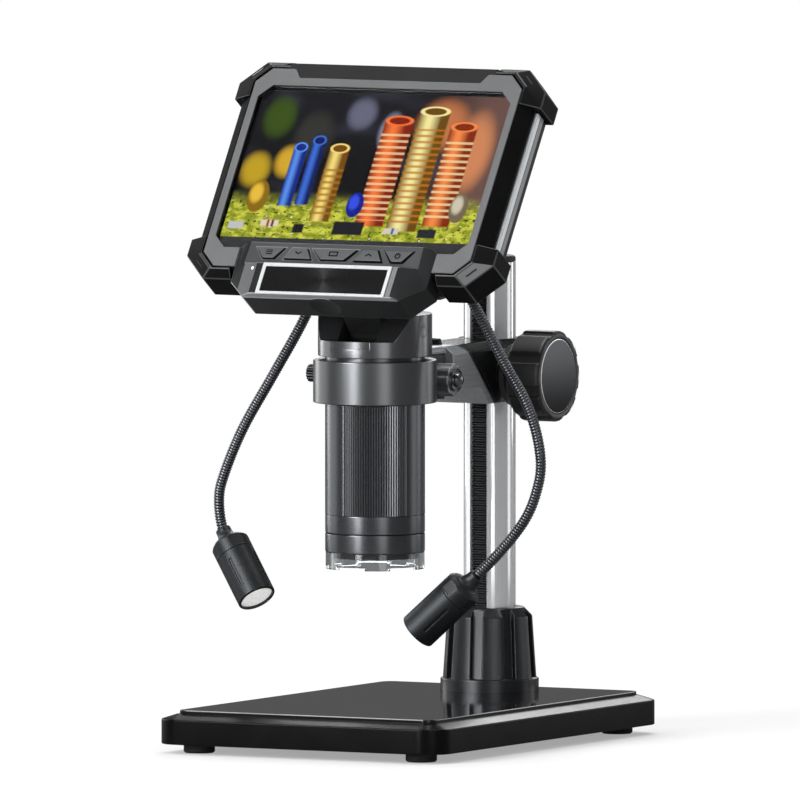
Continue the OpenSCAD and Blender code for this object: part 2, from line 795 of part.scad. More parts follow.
module pinion_outline() {
    base = pinion_r*cos(pressure);
    tip_t = sqrt(pow((pinion_r + tooth_module)/base, 2) - 1)*180/PI;
    pitch_t = sqrt(pow(pinion_r/base, 2) - 1)*180/PI;
    at_pitch = involute(base, pitch_t);
    half_tooth = 90/pinion_teeth - tooth_backlash/4/pinion_r*180/PI;
    offset_a = atan2(at_pitch.y, at_pitch.x) + half_tooth;
    root = pinion_r - 1.25*tooth_module;
    flank = [for (i = [0:4]) turn(involute(base, tip_t*i/4), -offset_a)];
    polygon([for (k = [0:pinion_teeth - 1])
        let (a = k*360/pinion_teeth)
        each concat(
            [turn([root, 0], a - 180/pinion_teeth + 0.2), turn([root, 0], a - offset_a)],
            [for (p = flank) turn(p, a)],
            [for (i = [4:-1:0]) turn([flank[i].x, -flank[i].y], a)],
            [turn([root, 0], a + offset_a)])]);
}

module pinion_shaft() {
    color("#b9bbbd")
    translate([0, pinion_y, focus_z]) {
        // a tooth points straight back into a space of the rack
        rotate([90, 0, 90]) linear_extrude(2*pinion_half_w, center = true) pinion_outline();
        x_cylinder(shaft_r, -boss_x + 1, knob_end_x - 5);
    }
}

module focus_knob() {
    color("#121314")
    translate([0, pinion_y, focus_z])
    difference() {
        rotate([0, 90, 0]) rotate_extrude()
            polygon([[0, knob_start_x], [knob_skirt_r, knob_start_x],
                     [knob_skirt_r, knob_start_x + 2.4],
                     [knob_r - 0.6, knob_grip_x - 0.6], [knob_r, knob_grip_x],
                     [knob_r, knob_end_x - 1], [knob_r - 1, knob_end_x], [0, knob_end_x]]);
        x_cylinder(shaft_r + seat, knob_start_x - 1, knob_end_x - 4.5);
        x_cylinder(knob_cap_r + seat, knob_end_x - 1.2, knob_end_x + 1);
        for (i = [0:knob_grips - 1])
            rotate([i*360/knob_grips + 18, 0, 0])
                translate([knob_grip_x - 1.5, knob_r - knob_groove_d, -knob_groove_w/2])
                    cube([knob_end_x - knob_grip_x + 3, 4, knob_groove_w]);
    }
}

module focus_knob_cap() {
    color("#3c3e40")
    translate([0, pinion_y, focus_z])
        x_cylinder(knob_cap_r, knob_end_x - 1.2 + seat, knob_end_x - 0.1);
}

// ---------- barrel ----------

module barrel_tube() {
    color("#1d1e20")
    difference() {
        rotate_extrude()
            polygon([[tube_bore_r, barrel_foot_z], [tube_r, barrel_foot_z],
                     [tube_r, ring_foot_z - 0.1], [barrel_r, ring_foot_z - 0.1],
                     [barrel_r, collar_foot_z], [tube_bore_r, collar_foot_z]]);
        box_to([-key_r - run, tube_bore_r - 2, key_z - key_r - lens_travel - 0.2],
               [key_r + run, tube_r + 1, key_z + key_r + lens_travel + 0.2]);
    }
}

module focus_sleeve() {
    panel = (sleeve_ribs - 1)*sleeve_rib_step;
    color("#26282a")
    difference() {
        translate([0, 0, sleeve_foot_z])
            linear_extrude(sleeve_top_z - sleeve_foot_z)
                difference() {
                    circle(r = barrel_r);
                    circle(r = sleeve_bore_r);
                    for (k = [0:sleeve_panels - 1], i = [0:sleeve_ribs - 1])
                        rotate(-62 + k*360/sleeve_panels - panel/2 + i*sleeve_rib_step)
                            translate([barrel_r, 0])
                                rotate(45) square(sleeve_rib_d*sqrt(2), center = true);
                }
        // turning the sleeve drives the lens cell's key along this groove
        translate([0, 0, key_z - key_r - lens_travel - 0.5])
            cylinder(r = barrel_r - 1.1, h = 2*(key_r + lens_travel) + 1);
    }
}

module barrel_band() {
    color("#242628")
    translate([0, 0, band_z + band_gap/2])
        tube(barrel_r, tube_r + seat, sleeve_foot_z - band_z - band_gap/2 - 0.1);
}

module hood_ring() {
    color("#202224")
    translate([0, 0, barrel_foot_z])
        tube(barrel_r, tube_r + seat, band_z - band_gap/2 - barrel_foot_z);
}

module clear_hood() {
    notch_a = 360/hood_tabs - hood_tab_a;
    notch_near = led_ring_r - 4;
    notch_far = barrel_r + 4;
    color([0.9, 0.94, 0.97, 0.4])
    difference() {
        translate([0, 0, hood_foot_z])
            tube(barrel_r - 0.2, led_ring_r + seat, barrel_foot_z - seat - hood_foot_z);
        for (i = [0:hood_tabs - 1])
            rotate((i + 0.5)*360/hood_tabs - 59)
                translate([0, 0, hood_foot_z - hood_tab_h]) linear_extrude(2*hood_tab_h)
                    polygon([[notch_near, -notch_near*tan(notch_a/2)],
                             [notch_far, -notch_far*tan(notch_a/2)],
                             [notch_far, notch_far*tan(notch_a/2)],
                             [notch_near, notch_near*tan(notch_a/2)]]);
    }
}

module led_ring() {
    color("#0d0d0e")
    difference() {
        translate([0, 0, barrel_foot_z - led_ring_h - seat]) tube(led_ring_r, led_ring_bore_r, led_ring_h);
        led_places() translate([0, 0, -1]) cylinder(r = 1.75, h = 2.2);
    }
}

module led_places() {
    for (i = [0:7])
        rotate(i*45 + 22.5)
            translate([(led_ring_r + led_ring_bore_r)/2, 0, barrel_foot_z - led_ring_h - seat]) children();
}

module ring_leds() {
    color("#fbf7da")
    led_places() translate([0, 0, -0.3]) cylinder(r = 1.7, h = 1.45);
}

module sensor_board() {
    color("#1f6b3a") {
        box_to([-9.6, -9.6, 111], [9.6, 9.6, 112.4]);
        box_to([-4, -3, 109.8], [4, 3, 111]);
    }
}

module lens_cell() {
    color("#2e2f31") {
        difference() {
            translate([0, 0, cell_z]) cylinder(r = cell_r, h = cell_h);
            translate([0, 0, cell_z - 1]) cylinder(r = 9, h = cell_h + 2);
            translate([0, 0, cell_z - 1]) cylinder(r = 10.5, h = 5);
        }
        translate([0, cell_r - 0.5, key_z]) rotate([-90, 0, 0])
            cylinder(r = key_r, h = tube_r + 0.9 - cell_r + 0.5);
    }
}

module objective_lens() {
    color([0.7, 0.85, 0.95, 0.4])
    translate([0, 0, cell_z + 0.5])
    intersection() {
        cylinder(r = 10.5 - seat, h = 3.4);
        translate([0, 0, 31]) sphere(r = 31);
    }
}

module barrel_collar() {
    seat_top_y = seat_y - (collar_top_z - collar_rim_z)/tan(90 - screen_tilt);
    color("#2c2e30")
    difference() {
        translate([0, 0, collar_foot_z + seat]) cylinder(r = collar_r, h = collar_top_z - collar_foot_z);
        translate([0, 0, collar_foot_z - 1]) cylinder(r = tube_bore_r, h = 3);
        // the front is cut down to the rim, with a seat parallel to the display behind it
        across(collar_r + 1, [[-collar_r - 1, collar_rim_z], [-seat_y, collar_rim_z],
                              [-seat_top_y, collar_top_z + seat], [-seat_top_y, collar_top_z + 1],
                              [-collar_r - 1, collar_top_z + 1]]);
        // slot for the head's hinge lug
        across(lug_half_w + 0.25,
            [[-collar_r - 1, hinge_z - lug_r - 0.5], [hinge_y + lug_r + 1, hinge_z - lug_r - 0.5],
             [hinge_y + lug_r + 6, collar_top_z + 1], [-collar_r - 1, collar_top_z + 1]]);
        translate([0, hinge_y, hinge_z]) x_cylinder(hinge_pin_r + seat, -collar_r - 1, collar_r + 1);
    }
}

module hinge_pin() {
    color("#c9cbcc")
    translate([0, hinge_y, hinge_z]) x_cylinder(hinge_pin_r, -collar_r + 0.6, collar_r - 0.6);
}

// ---------- display head ----------

module front_frame() {
    color("#0e0f10")
    head() difference() {
        union() {
            hull() {
                cut_plate(case_half_w, case_top, case_bottom, case_cut, frame_back, bevel_w);
                cut_plate(bezel_half_w + 0.5, bezel_top + 0.5, bezel_bottom + 0.5, bezel_cut,
                          rim_w - 0.1, rim_w);
            }
        }
        difference() {
            cut_plate(bezel_half_w + seat, bezel_top + seat, bezel_bottom + seat, bezel_cut,
                      ledge_w, rim_w + 1);
            top_notch(0, rim_w + 2);
        }
        cut_plate(window_half_w + 0.7, window_top + 0.5, window_bottom + 0.5, window_cut,
                  frame_back - 1, rim_w + 1);
        box_to([-panel_half_w - seat, -panel_half_h - seat, frame_back - 1],
               [panel_half_w + seat, panel_half_h + seat, 0]);
        box_to([-console_half_w - 0.1, -case_bottom - 1, ledge_w],
               [console_half_w + 0.1, -window_bottom, rim_w + 1]);
        screw_places() translate([0, 0, frame_back - 1]) cylinder(r = screw_r + seat, h = 2.6);
    }
}

// dark strip that fills the notch in the top of the bezel
module top_notch(gap, w1) {
    translate([0, 0, -1]) linear_extrude(w1 + 1)
        polygon([[-notch_half_w - gap, notch_bottom - gap], [notch_half_w + gap, notch_bottom - gap],
                 [notch_half_w + 4 + gap, bezel_top + 2], [-notch_half_w - 4 - gap, bezel_top + 2]]);
}

module bezel() {
    color("#5b5d5f")
    head() difference() {
        cut_plate(bezel_half_w, bezel_top, bezel_bottom, bezel_cut, bezel_w, bezel_w + bezel_t);
        cut_plate(window_half_w, window_top, window_bottom, window_cut, 0, 4);
        top_notch(seat, 4);
        box_to([-console_half_w - seat, -bezel_bottom - 1, 0],
               [console_half_w + seat, -window_bottom + 0.1, 4]);
    }
}

module cover_glass() {
    color([0.5, 0.55, 0.6, 0.4])
    head() cut_plate(window_half_w + 0.6, window_top + 0.4, window_bottom + 0.4, window_cut,
                     glass_w, glass_w + glass_t);
}

module lcd_panel() {
    color("#3b5f8a")
    head() box_to([-panel_half_w, -panel_half_h, -panel_t], [panel_half_w, panel_half_h, -seat]);
}

module screw_places() {
    for (u = [-screw_u, screw_u], v = [-screw_drop, screw_v])
        translate([u, v, 0]) children();
}

module rear_shell() {
    inner_w = case_half_w - case_wall;
    floor_w = shell_back + case_wall;
    color("#131415")
    head() difference() {
        union() {
            difference() {
                cut_plate(case_half_w, case_top, case_bottom, case_cut, shell_back, frame_back - seat);
                cut_plate(inner_w, case_top - case_wall, case_bottom - case_wall, case_cut, floor_w, 0);
            }
            screw_places() translate([0, 0, floor_w - eps]) cylinder(r = screw_head_r + 0.6, h = 5);
            for (u = [-board_half_w + peg_inset, board_half_w - peg_inset],
                 v = [-board_bottom + peg_inset, board_top - peg_inset])
                translate([u, v, floor_w - eps]) cylinder(r = 2.5, h = 3 + eps);
        }
        screw_places() translate([0, 0, shell_back - 1]) {
            cylinder(r = screw_r + 0.4, h = case_depth);
            cylinder(r = screw_head_r + 0.15, h = 2);
        }
        // cable way to the battery housing
        box_to([-8, -8, shell_back - 1], [8, 4, floor_w + 1]);
    }
}

module head_screws() {
    color("#88898b")
    head() screw_places() {
        translate([0, 0, shell_back + 0.1]) cylinder(r = screw_head_r, h = 0.85);
        translate([0, 0, shell_back + 0.9]) cylinder(r = screw_r, h = case_depth - 2.5);
    }
}

module main_board() {
    color("#1f6b3a")
    head() translate([0, 0, shell_back + case_wall + 3 + seat]) {
        box_to([-board_half_w, -board_bottom, 0], [board_half_w, board_top, 1.6]);
        box_to([-12, -14, 1.6], [12, 6, 3]);
        box_to([20, -24, 1.6], [34, -12, 2.8]);
    }
}

module battery_housing() {
    depth_front = shell_back - seat;
    color("#151617")
    head() difference() {
        union() {
            across(housing_half_w,
                [[-housing_bottom, depth_front], [-housing_bottom, housing_back + 5],
                 [-housing_bottom + 4, housing_back], [housing_top - 6, housing_back],
                 [housing_top, housing_back + 7], [housing_top, depth_front]]);
            // nozzles for the goosenecks
            for (s = [-1, 1]) unhead() along(neck_root(s), neck_root_dir(s))
                translate([0, 0, -nozzle_l]) {
                    cylinder(r = nozzle_r, h = nozzle_l - 3.5);
                    translate([0, 0, nozzle_l - 3.5]) cylinder(r1 = nozzle_r, r2 = nozzle_r - 1, h = 1.5);
                }
            // hinge lug
            hinge_in_head() {
                x_cylinder(lug_r, -lug_half_w, lug_half_w);
                across(lug_half_w, [[-lug_r, 0], [0, lug_reach() + 3.5], [8, lug_reach() + 5.5],
                                    [15, lug_reach()], [lug_r, 0]]);
            }
        }
        difference() {
            across(housing_half_w - 2,
                [[-housing_bottom + 2, depth_front + 1], [-housing_bottom + 2, housing_back + 6],
                 [-housing_bottom + 5, housing_back + 2], [housing_top - 7, housing_back + 2],
                 [housing_top - 2, housing_back + 8], [housing_top - 2, depth_front + 1]]);
            for (s = [-1, 1]) socket_block(s);
        }
        hinge_in_head() x_cylinder(hinge_pin_r + run, -lug_half_w - 1, lug_half_w + 1);
        for (s = [-1, 1]) unhead() along(neck_root(s), neck_root_dir(s)) {
            translate([0, 0, -socket_back]) cylinder(r = neck_r + 1.4 + seat, h = socket_back + 1);
            translate([0, 0, -nozzle_l - 3]) cylinder(r = neck_bore_r, h = nozzle_l);
        }
    }
}

// solid block inside the housing that carries a gooseneck's nozzle
module socket_block(s) {
    box_to([s*19 - 8, -26, housing_back], [s*19 + 8, -4, housing_back + 7]);
}

// undoes head(), for a shape given in the object's own frame
module unhead() {
    rotate([screen_tilt - 90, 0, 0]) translate([0, screen_y, -screen_z]) children();
}

module hinge_in_head() {
    unhead() translate([0, hinge_y, hinge_z]) rotate([90 - screen_tilt, 0, 0]) children();
}

// distance from the hinge pin to the housing's back face, along the display's normal
function lug_reach() =
    housing_back + (hinge_y + screen_y)*cos(screen_tilt) - (hinge_z - screen_z)*sin(screen_tilt) + 0.5;

module battery() {
    color("#4b6fa8")
    head() box_to([-housing_half_w + 4, -housing_bottom + 7.5, housing_back + 7.4],
                  [housing_half_w - 4, housing_top - 10, housing_back + 14]);
}

module corner_bumpers() {
    color("#0c0c0d")
    head() intersection() {
        difference() {
            hull() {
                cut_plate(bumper_half_w, bumper_top, bumper_bottom, case_cut + 1.2,
                          shell_back + 0.6, bevel_w + 0.4);
                cut_plate(bezel_half_w + 1.4, bezel_top + 1.4, bezel_bottom + 1.2, bezel_cut,
                          rim_w, rim_w + 0.2);
            }
            hull() {
                cut_plate(case_half_w + seat, case_top + seat, case_bottom + seat, case_cut,
                          shell_back - 1, bevel_w + 0.02);
                cut_plate(bezel_half_w + 0.6, bezel_top + 0.6, bezel_bottom + 0.6, bezel_cut,
                          rim_w, rim_w + 0.05);
            }
            cut_plate(bezel_half_w + 0.6, bezel_top + 0.6, bezel_bottom + 0.6, bezel_cut, 0, rim_w + 1);
        }
        for (s = [-1, 1])
            union() {
                corner_box(s, bumper_half_w - bumper_along, bumper_top, -bumper_side);
                corner_box(s, console_half_w + 1.9, -bumper_bottom, bumper_side);
            }
    }
}

module corner_box(s, inner, v, side) {
    near = s*inner;
    far = s*(bumper_half_w + 1);
    box_to([min(near, far), min(v, v + side) - (side > 0 ? 1 : 0), -20],
           [max(near, far), max(v, v + side) + (side > 0 ? 0 : 1), 10]);
}

module side_rails() {
    low = -bumper_bottom + bumper_side + 0.3;
    high = bumper_top - bumper_side - 0.3;
    color("#b4b7ba")
    head() for (s = [-1, 1])
        translate([s > 0 ? 0 : -2*case_half_w - 1.6 - seat, 0, 0])
            box_to([case_half_w + seat, low, -9], [case_half_w + 1.6, high, -3.6]);
}

function button_outline(b, grow) =
    [[b[0] - b[2] - 1.3*grow, button_foot_v - grow], [b[0] + b[2] + 1.3*grow, button_foot_v - grow],
     [b[0] + b[1] + 1.3*grow, button_top_v + grow], [b[0] - b[1] - 1.3*grow, button_top_v + grow]];

module console() {
    face_v = -console_top - 0.4;
    color("#17181a")
    head() difference() {
        intersection() {
            across(console_half_w + 1,
                [[-console_top, bezel_w], [face_v, bank_w], [-46.2, bank_w], [-46.7, plateau_w],
                 [-console_bottom + 1.2, plateau_w], [-console_bottom, plateau_w - 1.4],
                 [-console_bottom, console_back], [-case_bottom - seat, console_back],
                 [-case_bottom - seat, bezel_w]]);
            translate([0, 0, console_back - 1]) linear_extrude(20)
                polygon([[-console_half_w + 3, -console_top + 1], [-console_half_w, -console_top - 2.5],
                         [-console_half_w, -53.5], [-33, -console_bottom - 0.5],
                         [33, -console_bottom - 0.5], [console_half_w, -53.5],
                         [console_half_w, -console_top - 2.5], [console_half_w - 3, -console_top + 1]]);
            rotate([90, 0, 0]) linear_extrude(140, center = true)
                polygon([[-console_half_w - 1, console_back - 1], [-console_half_w - 1, 1.4],
                         [-console_half_w + 5.5, bank_w + 0.1], [-30.5, plateau_w + 0.1],
                         [30.5, plateau_w + 0.1], [console_half_w - 5.5, bank_w + 0.1],
                         [console_half_w + 1, 1.4], [console_half_w + 1, console_back - 1]]);
        }
        for (b = [MENU, DOWN, SELECT, UP, POWER])
            linear_extrude(12) polygon(button_outline(b, button_gap));
        box_to([-grain_half_w - seat, grain_v - grain_half_h - seat, plateau_w - 0.8],
               [grain_half_w + seat, grain_v + grain_half_h + seat, plateau_w + 1]);
        box_to([-31, -console_bottom + 2, console_back + 1.6], [31, -case_bottom + 1, 0.6]);
        // thumb notch in the underside
        translate([0, -console_bottom - 18.9, -0.5]) sphere(r = 20);
    }
}

module console_frame() {
    color("#c3c6c8")
    head() difference() {
        box_to([-grain_half_w - grain_frame, grain_v - grain_half_h - grain_frame*0.75, plateau_w + 0.02],
               [grain_half_w + grain_frame, grain_v + grain_half_h + grain_frame, plateau_w + 0.55]);
        box_to([-grain_half_w - 0.1, grain_v - grain_half_h - 0.1, plateau_w - 1],
               [grain_half_w + 0.1, grain_v + grain_half_h + 0.1, plateau_w + 2]);
    }
}

module grain_panel() {
    color("#0b0b0c")
    head() box_to([-grain_half_w, grain_v - grain_half_h, plateau_w - 0.8 + seat],
                  [grain_half_w, grain_v + grain_half_h, plateau_w + 0.2]);
}

module button(b) {
    color("#6a6d70")
    head() translate([0, 0, bezel_w + button_travel + 0.2])
        linear_extrude(bank_w + button_proud - bezel_w - button_travel - 0.2)
            polygon(button_outline(b, 0));
}

module menu_button() button(MENU);
module down_button() button(DOWN);
module select_button() button(SELECT);
module up_button() button(UP);
module power_button() button(POWER);

// ---------- gooseneck lamps ----------

function side(s) = s < 0 ? LEFT : RIGHT;
function aim(s) = unit(s < 0 ? LEFT_AIM : RIGHT_AIM);
function neck_root(s) = side(s)[0];
function neck_root_dir(s) = unit(side(s)[1][0] - side(s)[0]);
function neck_bend_dir(s) =
    let (a = side(s)[1], b = side(s)[3]) unit(b[0] - a[len(a) - 1]);
function neck_end_dir(s) = s < 0 ? unit(LEFT_END) : aim(s);

// smooth curve through points, with given directions at both ends
function curve_point(a, b, c, d, t) =
    0.5*((2*b) + (c - a)*t + (2*a - 5*b + 4*c - d)*t*t + (3*b - a - 3*c + d)*t*t*t);
function curve(p, d0, d1) =
    let (n = len(p) - 1,
         q = concat([p[1] - 2*norm(p[1] - p[0])*d0], p, [p[n - 1] + 2*norm(p[n] - p[n - 1])*d1]))
    [for (i = [0:n - 1]) each [for (t = [0:0.1:0.95]) curve_point(q[i], q[i + 1], q[i + 2], q[i + 3], t)],
     p[n]];

// centre line between two joints: straight at both ends and smooth between
function neck_line(j0, d0, mids, j1, d1, gap0, gap1) =
    concat([j0 + gap0*d0],
           curve(concat([j0 + (gap0 + neck_straight)*d0], mids, [j1 - (gap1 + neck_straight)*d1]), d0, d1),
           [j1 - gap1*d1]);

function upper_line(s) =
    neck_line(neck_root(s), neck_root_dir(s), side(s)[1], side(s)[2], neck_bend_dir(s), neck_gap, neck_gap);
function lower_line(s) =
    neck_line(side(s)[2], neck_bend_dir(s), side(s)[3], side(s)[4], neck_end_dir(s), neck_gap, neck_gap);

function lengths(p) = [for (i = 0, l = 0; i < len(p); l = l + (i + 1 < len(p) ? norm(p[i + 1] - p[i]) : 0),
                            i = i + 1) l];
function table(p, l, k) = [for (i = [0:len(p) - 1]) [l[i], p[i][k]]];
function at(tables, x) = [lookup(x, tables[0]), lookup(x, tables[1]), lookup(x, tables[2])];

// one ring of points round the centre line at a distance x along it
function ring(tables, x, total, r) =
    let (step = 0.4,
         t = unit(at(tables, min(x + step, total)) - at(tables, max(x - step, 0))),
         a = unit(cross(t, [0, 1, 0])),
         b = cross(t, a),
         c = at(tables, x))
    [for (k = [0:neck_sides - 1]) c + r*(cos(k*360/neck_sides)*a + sin(k*360/neck_sides)*b)];

function band(i, j) =
    [for (k = [0:neck_sides - 1])
        let (m = (k + 1)%neck_sides)
        each [[i + k, j + m, j + k], [i + k, i + m, j + m]]];

module ribbed_tube(line) {
    l = lengths(line);
    total = l[len(l) - 1];
    tables = [for (k = [0:2]) table(line, l, k)];
    halves = 2*round(total/neck_pitch);
    step = total/halves;
    bores = ceil(halves/bore_every);
    outside = [for (i = [0:halves])
        each ring(tables, i*step, total, i%2 == 0 ? neck_r - neck_groove : neck_r)];
    inside = [for (i = [0:bores]) each ring(tables, i*total/bores, total, neck_bore_r)];
    start = len(outside);
    last_out = halves*neck_sides;
    last_in = start + bores*neck_sides;
    polyhedron(concat(outside, inside), concat(
        [for (i = [0:halves - 1]) each band(i*neck_sides, (i + 1)*neck_sides)],
        [for (i = [0:bores - 1]) each band(start + (i + 1)*neck_sides, start + i*neck_sides)],
        band(start, 0), band(last_out, last_in)), convexity = 10);
}

// least gap between parts of a line that are well apart along it
function least_gap(p, r) =
    let (l = lengths(p))
    min([for (i = [0:len(p) - 1], j = [i:len(p) - 1]) if (l[j] - l[i] > 8*r) norm(p[j] - p[i])]) - 2*r;

for (s = [-1, 1])
    echo(str("least gap of a gooseneck to itself, mm: "),
         least_gap(concat(upper_line(s), lower_line(s)), neck_r));

module neck_sockets() {
    color("#2a2c2e")
    for (s = [-1, 1])
        along(neck_root(s), neck_root_dir(s))
            translate([0, 0, -socket_back]) {
                difference() {
                    cylinder(r = neck_r + 1.4, h = socket_back);
                    translate([0, 0, -1]) cylinder(r = neck_bore_r, h = socket_back + 2);
                }
            }
}

module left_neck_upper() { color("#17181a") ribbed_tube(upper_line(-1)); }
module left_neck_lower() { color("#17181a") ribbed_tube(lower_line(-1)); }
module right_neck_upper() { color("#17181a") ribbed_tube(upper_line(1)); }
module right_neck_lower() { color("#17181a") ribbed_tube(lower_line(1)); }

// places its children at a lamp's rear face, with +Z towards its front
module lamp_frame(s) {
    along(side(s)[4] + (neck_gap + lamp_bell_l)*aim(s), aim(s)) children();
}

module lamp_cap(s) {
    flats = 8;
    color("#1e2022")
    lamp_frame(s) difference() {
        rotate_extrude()
            polygon(concat([[neck_bore_r, -lamp_bell_l], [neck_r + 0.9, -lamp_bell_l],
                            [neck_r + 0.9, -lamp_bell_l + 1.4]],
                           [for (a = [10:16:90])
                               [lamp_r - 1.5 - (lamp_r - neck_r - 2.4)*cos(a),
                                -lamp_bell_l + 1.4 + (lamp_bell_l - 1.4)*sin(a)]],
                           [[lamp_r, 1.5], [lamp_r, lamp_cap_l - 0.1], [lamp_r - 1.4, lamp_cap_l - 0.1],
                            [lamp_r - 1.4, 2.5], [neck_bore_r, 2.5]]));
        for (i = [0:flats/2 - 1])
            rotate(i*90 + 20)
                translate([lamp_r - 0.35, -2.6, 0.9]) cube([2, 5.2, lamp_cap_l - 2]);
    }
}

module lamp_shell(s) {
    color("#232527")
    lamp_frame(s) difference() {
        rotate_extrude()
            polygon([[lamp_r - 1.2, lamp_cap_l], [lamp_r, lamp_cap_l], [lamp_r, lamp_l - 0.4],
                     [lamp_r - 0.4, lamp_l], [lamp_r - 1.0, lamp_l], [lamp_r - 1.0, lamp_l - 2.4],
                     [lamp_r - 1.6, lamp_l - 2.4], [lamp_r - 1.6, lamp_cap_l - 3],
                     [lamp_r - 1.4 - seat, lamp_cap_l - 3], [lamp_r - 1.4 - seat, lamp_cap_l]]);
        for (i = [0:3])
            rotate(i*90 - 25)
                translate([lamp_r - 0.6, -0.6, lamp_cap_l + 3.4]) cube([2, 1.2, lamp_l - lamp_cap_l - 8]);
    }
}

module lamp_optics(s) {
    color("#fdfdf8")
    lamp_frame(s) {
        translate([0, 0, lamp_l - 2.4 + seat]) cylinder(r = lamp_r - 1 - seat, h = 1.3);
        translate([0, 0, lamp_l - 6.6]) cylinder(r = lamp_r - 1.6 - seat, h = 1.2);
        translate([0, 0, lamp_l - 5.45]) cylinder(r = 2.2, h = 1.6);
    }
}

module left_lamp_shell() { lamp_cap(-1); lamp_shell(-1); }
module left_lamp_optics() lamp_optics(-1);
module right_lamp_shell() { lamp_cap(1); lamp_shell(1); }
module right_lamp_optics() lamp_optics(1);

base_casting();
top_plate();
rubber_feet();
base_screws();
column_socket();
column();
rack();
column_cap();
carriage();
carriage_bushes();
joint_shim();
arm();
arm_fasteners();
ring_clamp();
side_thumbscrew();
clamp_knob();
clamp_bolt();
pinion_shaft();
focus_knob();
focus_knob_cap();
barrel_tube();
focus_sleeve();
barrel_band();
hood_ring();
clear_hood();
led_ring();
ring_leds();
sensor_board();
lens_cell();
objective_lens();
barrel_collar();
hinge_pin();
front_frame();
bezel();
cover_glass();
lcd_panel();
rear_shell();
head_screws();
main_board();
battery_housing();
battery();
corner_bumpers();
side_rails();
console();
console_frame();
grain_panel();
menu_button();
down_button();
select_button();
up_button();
power_button();
neck_sockets();
left_neck_upper();
left_neck_lower();
left_lamp_shell();
left_lamp_optics();
right_neck_upper();
right_neck_lower();
right_lamp_shell();
right_lamp_optics();
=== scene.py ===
# A digital microscope: a tilting display head on a barrel, a rack-and-pinion stand and two
# gooseneck lamps. The pieces follow in the order in which the object is put together.
import math

import bmesh
import bpy
from mathutils import Matrix, Vector


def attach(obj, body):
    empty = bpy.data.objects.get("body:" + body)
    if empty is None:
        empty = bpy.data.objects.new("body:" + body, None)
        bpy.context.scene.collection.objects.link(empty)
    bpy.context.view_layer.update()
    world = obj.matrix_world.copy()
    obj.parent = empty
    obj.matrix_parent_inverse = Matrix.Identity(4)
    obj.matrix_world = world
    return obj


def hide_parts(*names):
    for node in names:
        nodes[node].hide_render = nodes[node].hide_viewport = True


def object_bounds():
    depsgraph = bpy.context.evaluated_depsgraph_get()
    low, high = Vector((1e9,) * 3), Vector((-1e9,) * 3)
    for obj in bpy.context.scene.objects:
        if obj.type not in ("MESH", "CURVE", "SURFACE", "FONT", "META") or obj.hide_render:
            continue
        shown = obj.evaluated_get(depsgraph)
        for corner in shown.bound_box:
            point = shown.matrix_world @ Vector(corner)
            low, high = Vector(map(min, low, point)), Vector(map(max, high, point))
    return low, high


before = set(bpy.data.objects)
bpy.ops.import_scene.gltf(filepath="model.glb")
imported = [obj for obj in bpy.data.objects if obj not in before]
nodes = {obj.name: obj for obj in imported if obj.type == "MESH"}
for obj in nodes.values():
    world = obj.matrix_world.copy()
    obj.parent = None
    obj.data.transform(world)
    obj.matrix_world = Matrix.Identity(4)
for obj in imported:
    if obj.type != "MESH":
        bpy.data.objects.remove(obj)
cad_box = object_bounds()
MM = 0.001

# ---------------------------------------------------------------- camera
# A very long lens, far back, a little above the base and to the user's right of the display.
# Its picture takes in a square of VIEW_WIDTH metres at the object.
AIM = Vector((10.8, 0.0, 117.3)) * MM
TOWARDS_CAMERA = Vector((0.4699, -0.8804, 0.0665)).normalized()
VIEW_WIDTH = 0.3056


def put(name, data):
    """Puts data in the scene as an object of that name."""
    thing = bpy.data.objects.new(name, data)
    bpy.context.scene.collection.objects.link(thing)
    return thing


lens_data = bpy.data.cameras.new("camera")
lens_data.lens = 1500.0
lens_data.sensor_width = 36.0
lens_data.clip_start = 0.5
lens_data.clip_end = 60.0
camera = put("camera", lens_data)
camera.location = AIM + TOWARDS_CAMERA * VIEW_WIDTH * lens_data.lens / lens_data.sensor_width
camera.rotation_euler = TOWARDS_CAMERA.to_track_quat("Z", "Y").to_euler()
bpy.context.scene.camera = camera
bpy.context.scene.view_settings.view_transform = "Standard"

# ---------------------------------------------------------------- base
# The base is a heavy casting with a low bevel all round, sprayed satin black. Its edges are
# eased by tumbling, and a glossy black plate is let into its top and stands a little proud.


def tone(code):
    """Linear colour of a tone that is written as two hexadecimal digits a channel."""
    parts = [int(code[i : i + 2], 16) / 255 for i in (0, 2, 4)]
    linear = (p / 12.92 if p <= 0.04045 else ((p + 0.055) / 1.055) ** 2.4 for p in parts)
    return (*linear, 1.0)


def new_effect(name, inputs, outputs):
    """An empty shader node group with its own sockets; returns it with its two end nodes."""
    group = bpy.data.node_groups.new(name, "ShaderNodeTree")
    for title, kind, value in inputs:
        socket = group.interface.new_socket(title, in_out="INPUT", socket_type="NodeSocket" + kind)
        socket.default_value = value
    for title, kind in outputs:
        group.interface.new_socket(title, in_out="OUTPUT", socket_type="NodeSocket" + kind)
    return group, group.nodes.new("NodeGroupInput"), group.nodes.new("NodeGroupOutput")


def feed(tree, value, socket):
    """Gives a socket its value: another node's output, or a number or colour of its own."""
    if hasattr(value, "links"):
        tree.links.new(value, socket)
    else:
        socket.default_value = value


def maths(tree, how, a, b=None):
    """A math node on one or two values, each a socket or a number."""
    node = tree.nodes.new("ShaderNodeMath")
    node.operation = how
    feed(tree, a, node.inputs[0])
    if b is not None:
        feed(tree, b, node.inputs[1])
    return node.outputs[0]


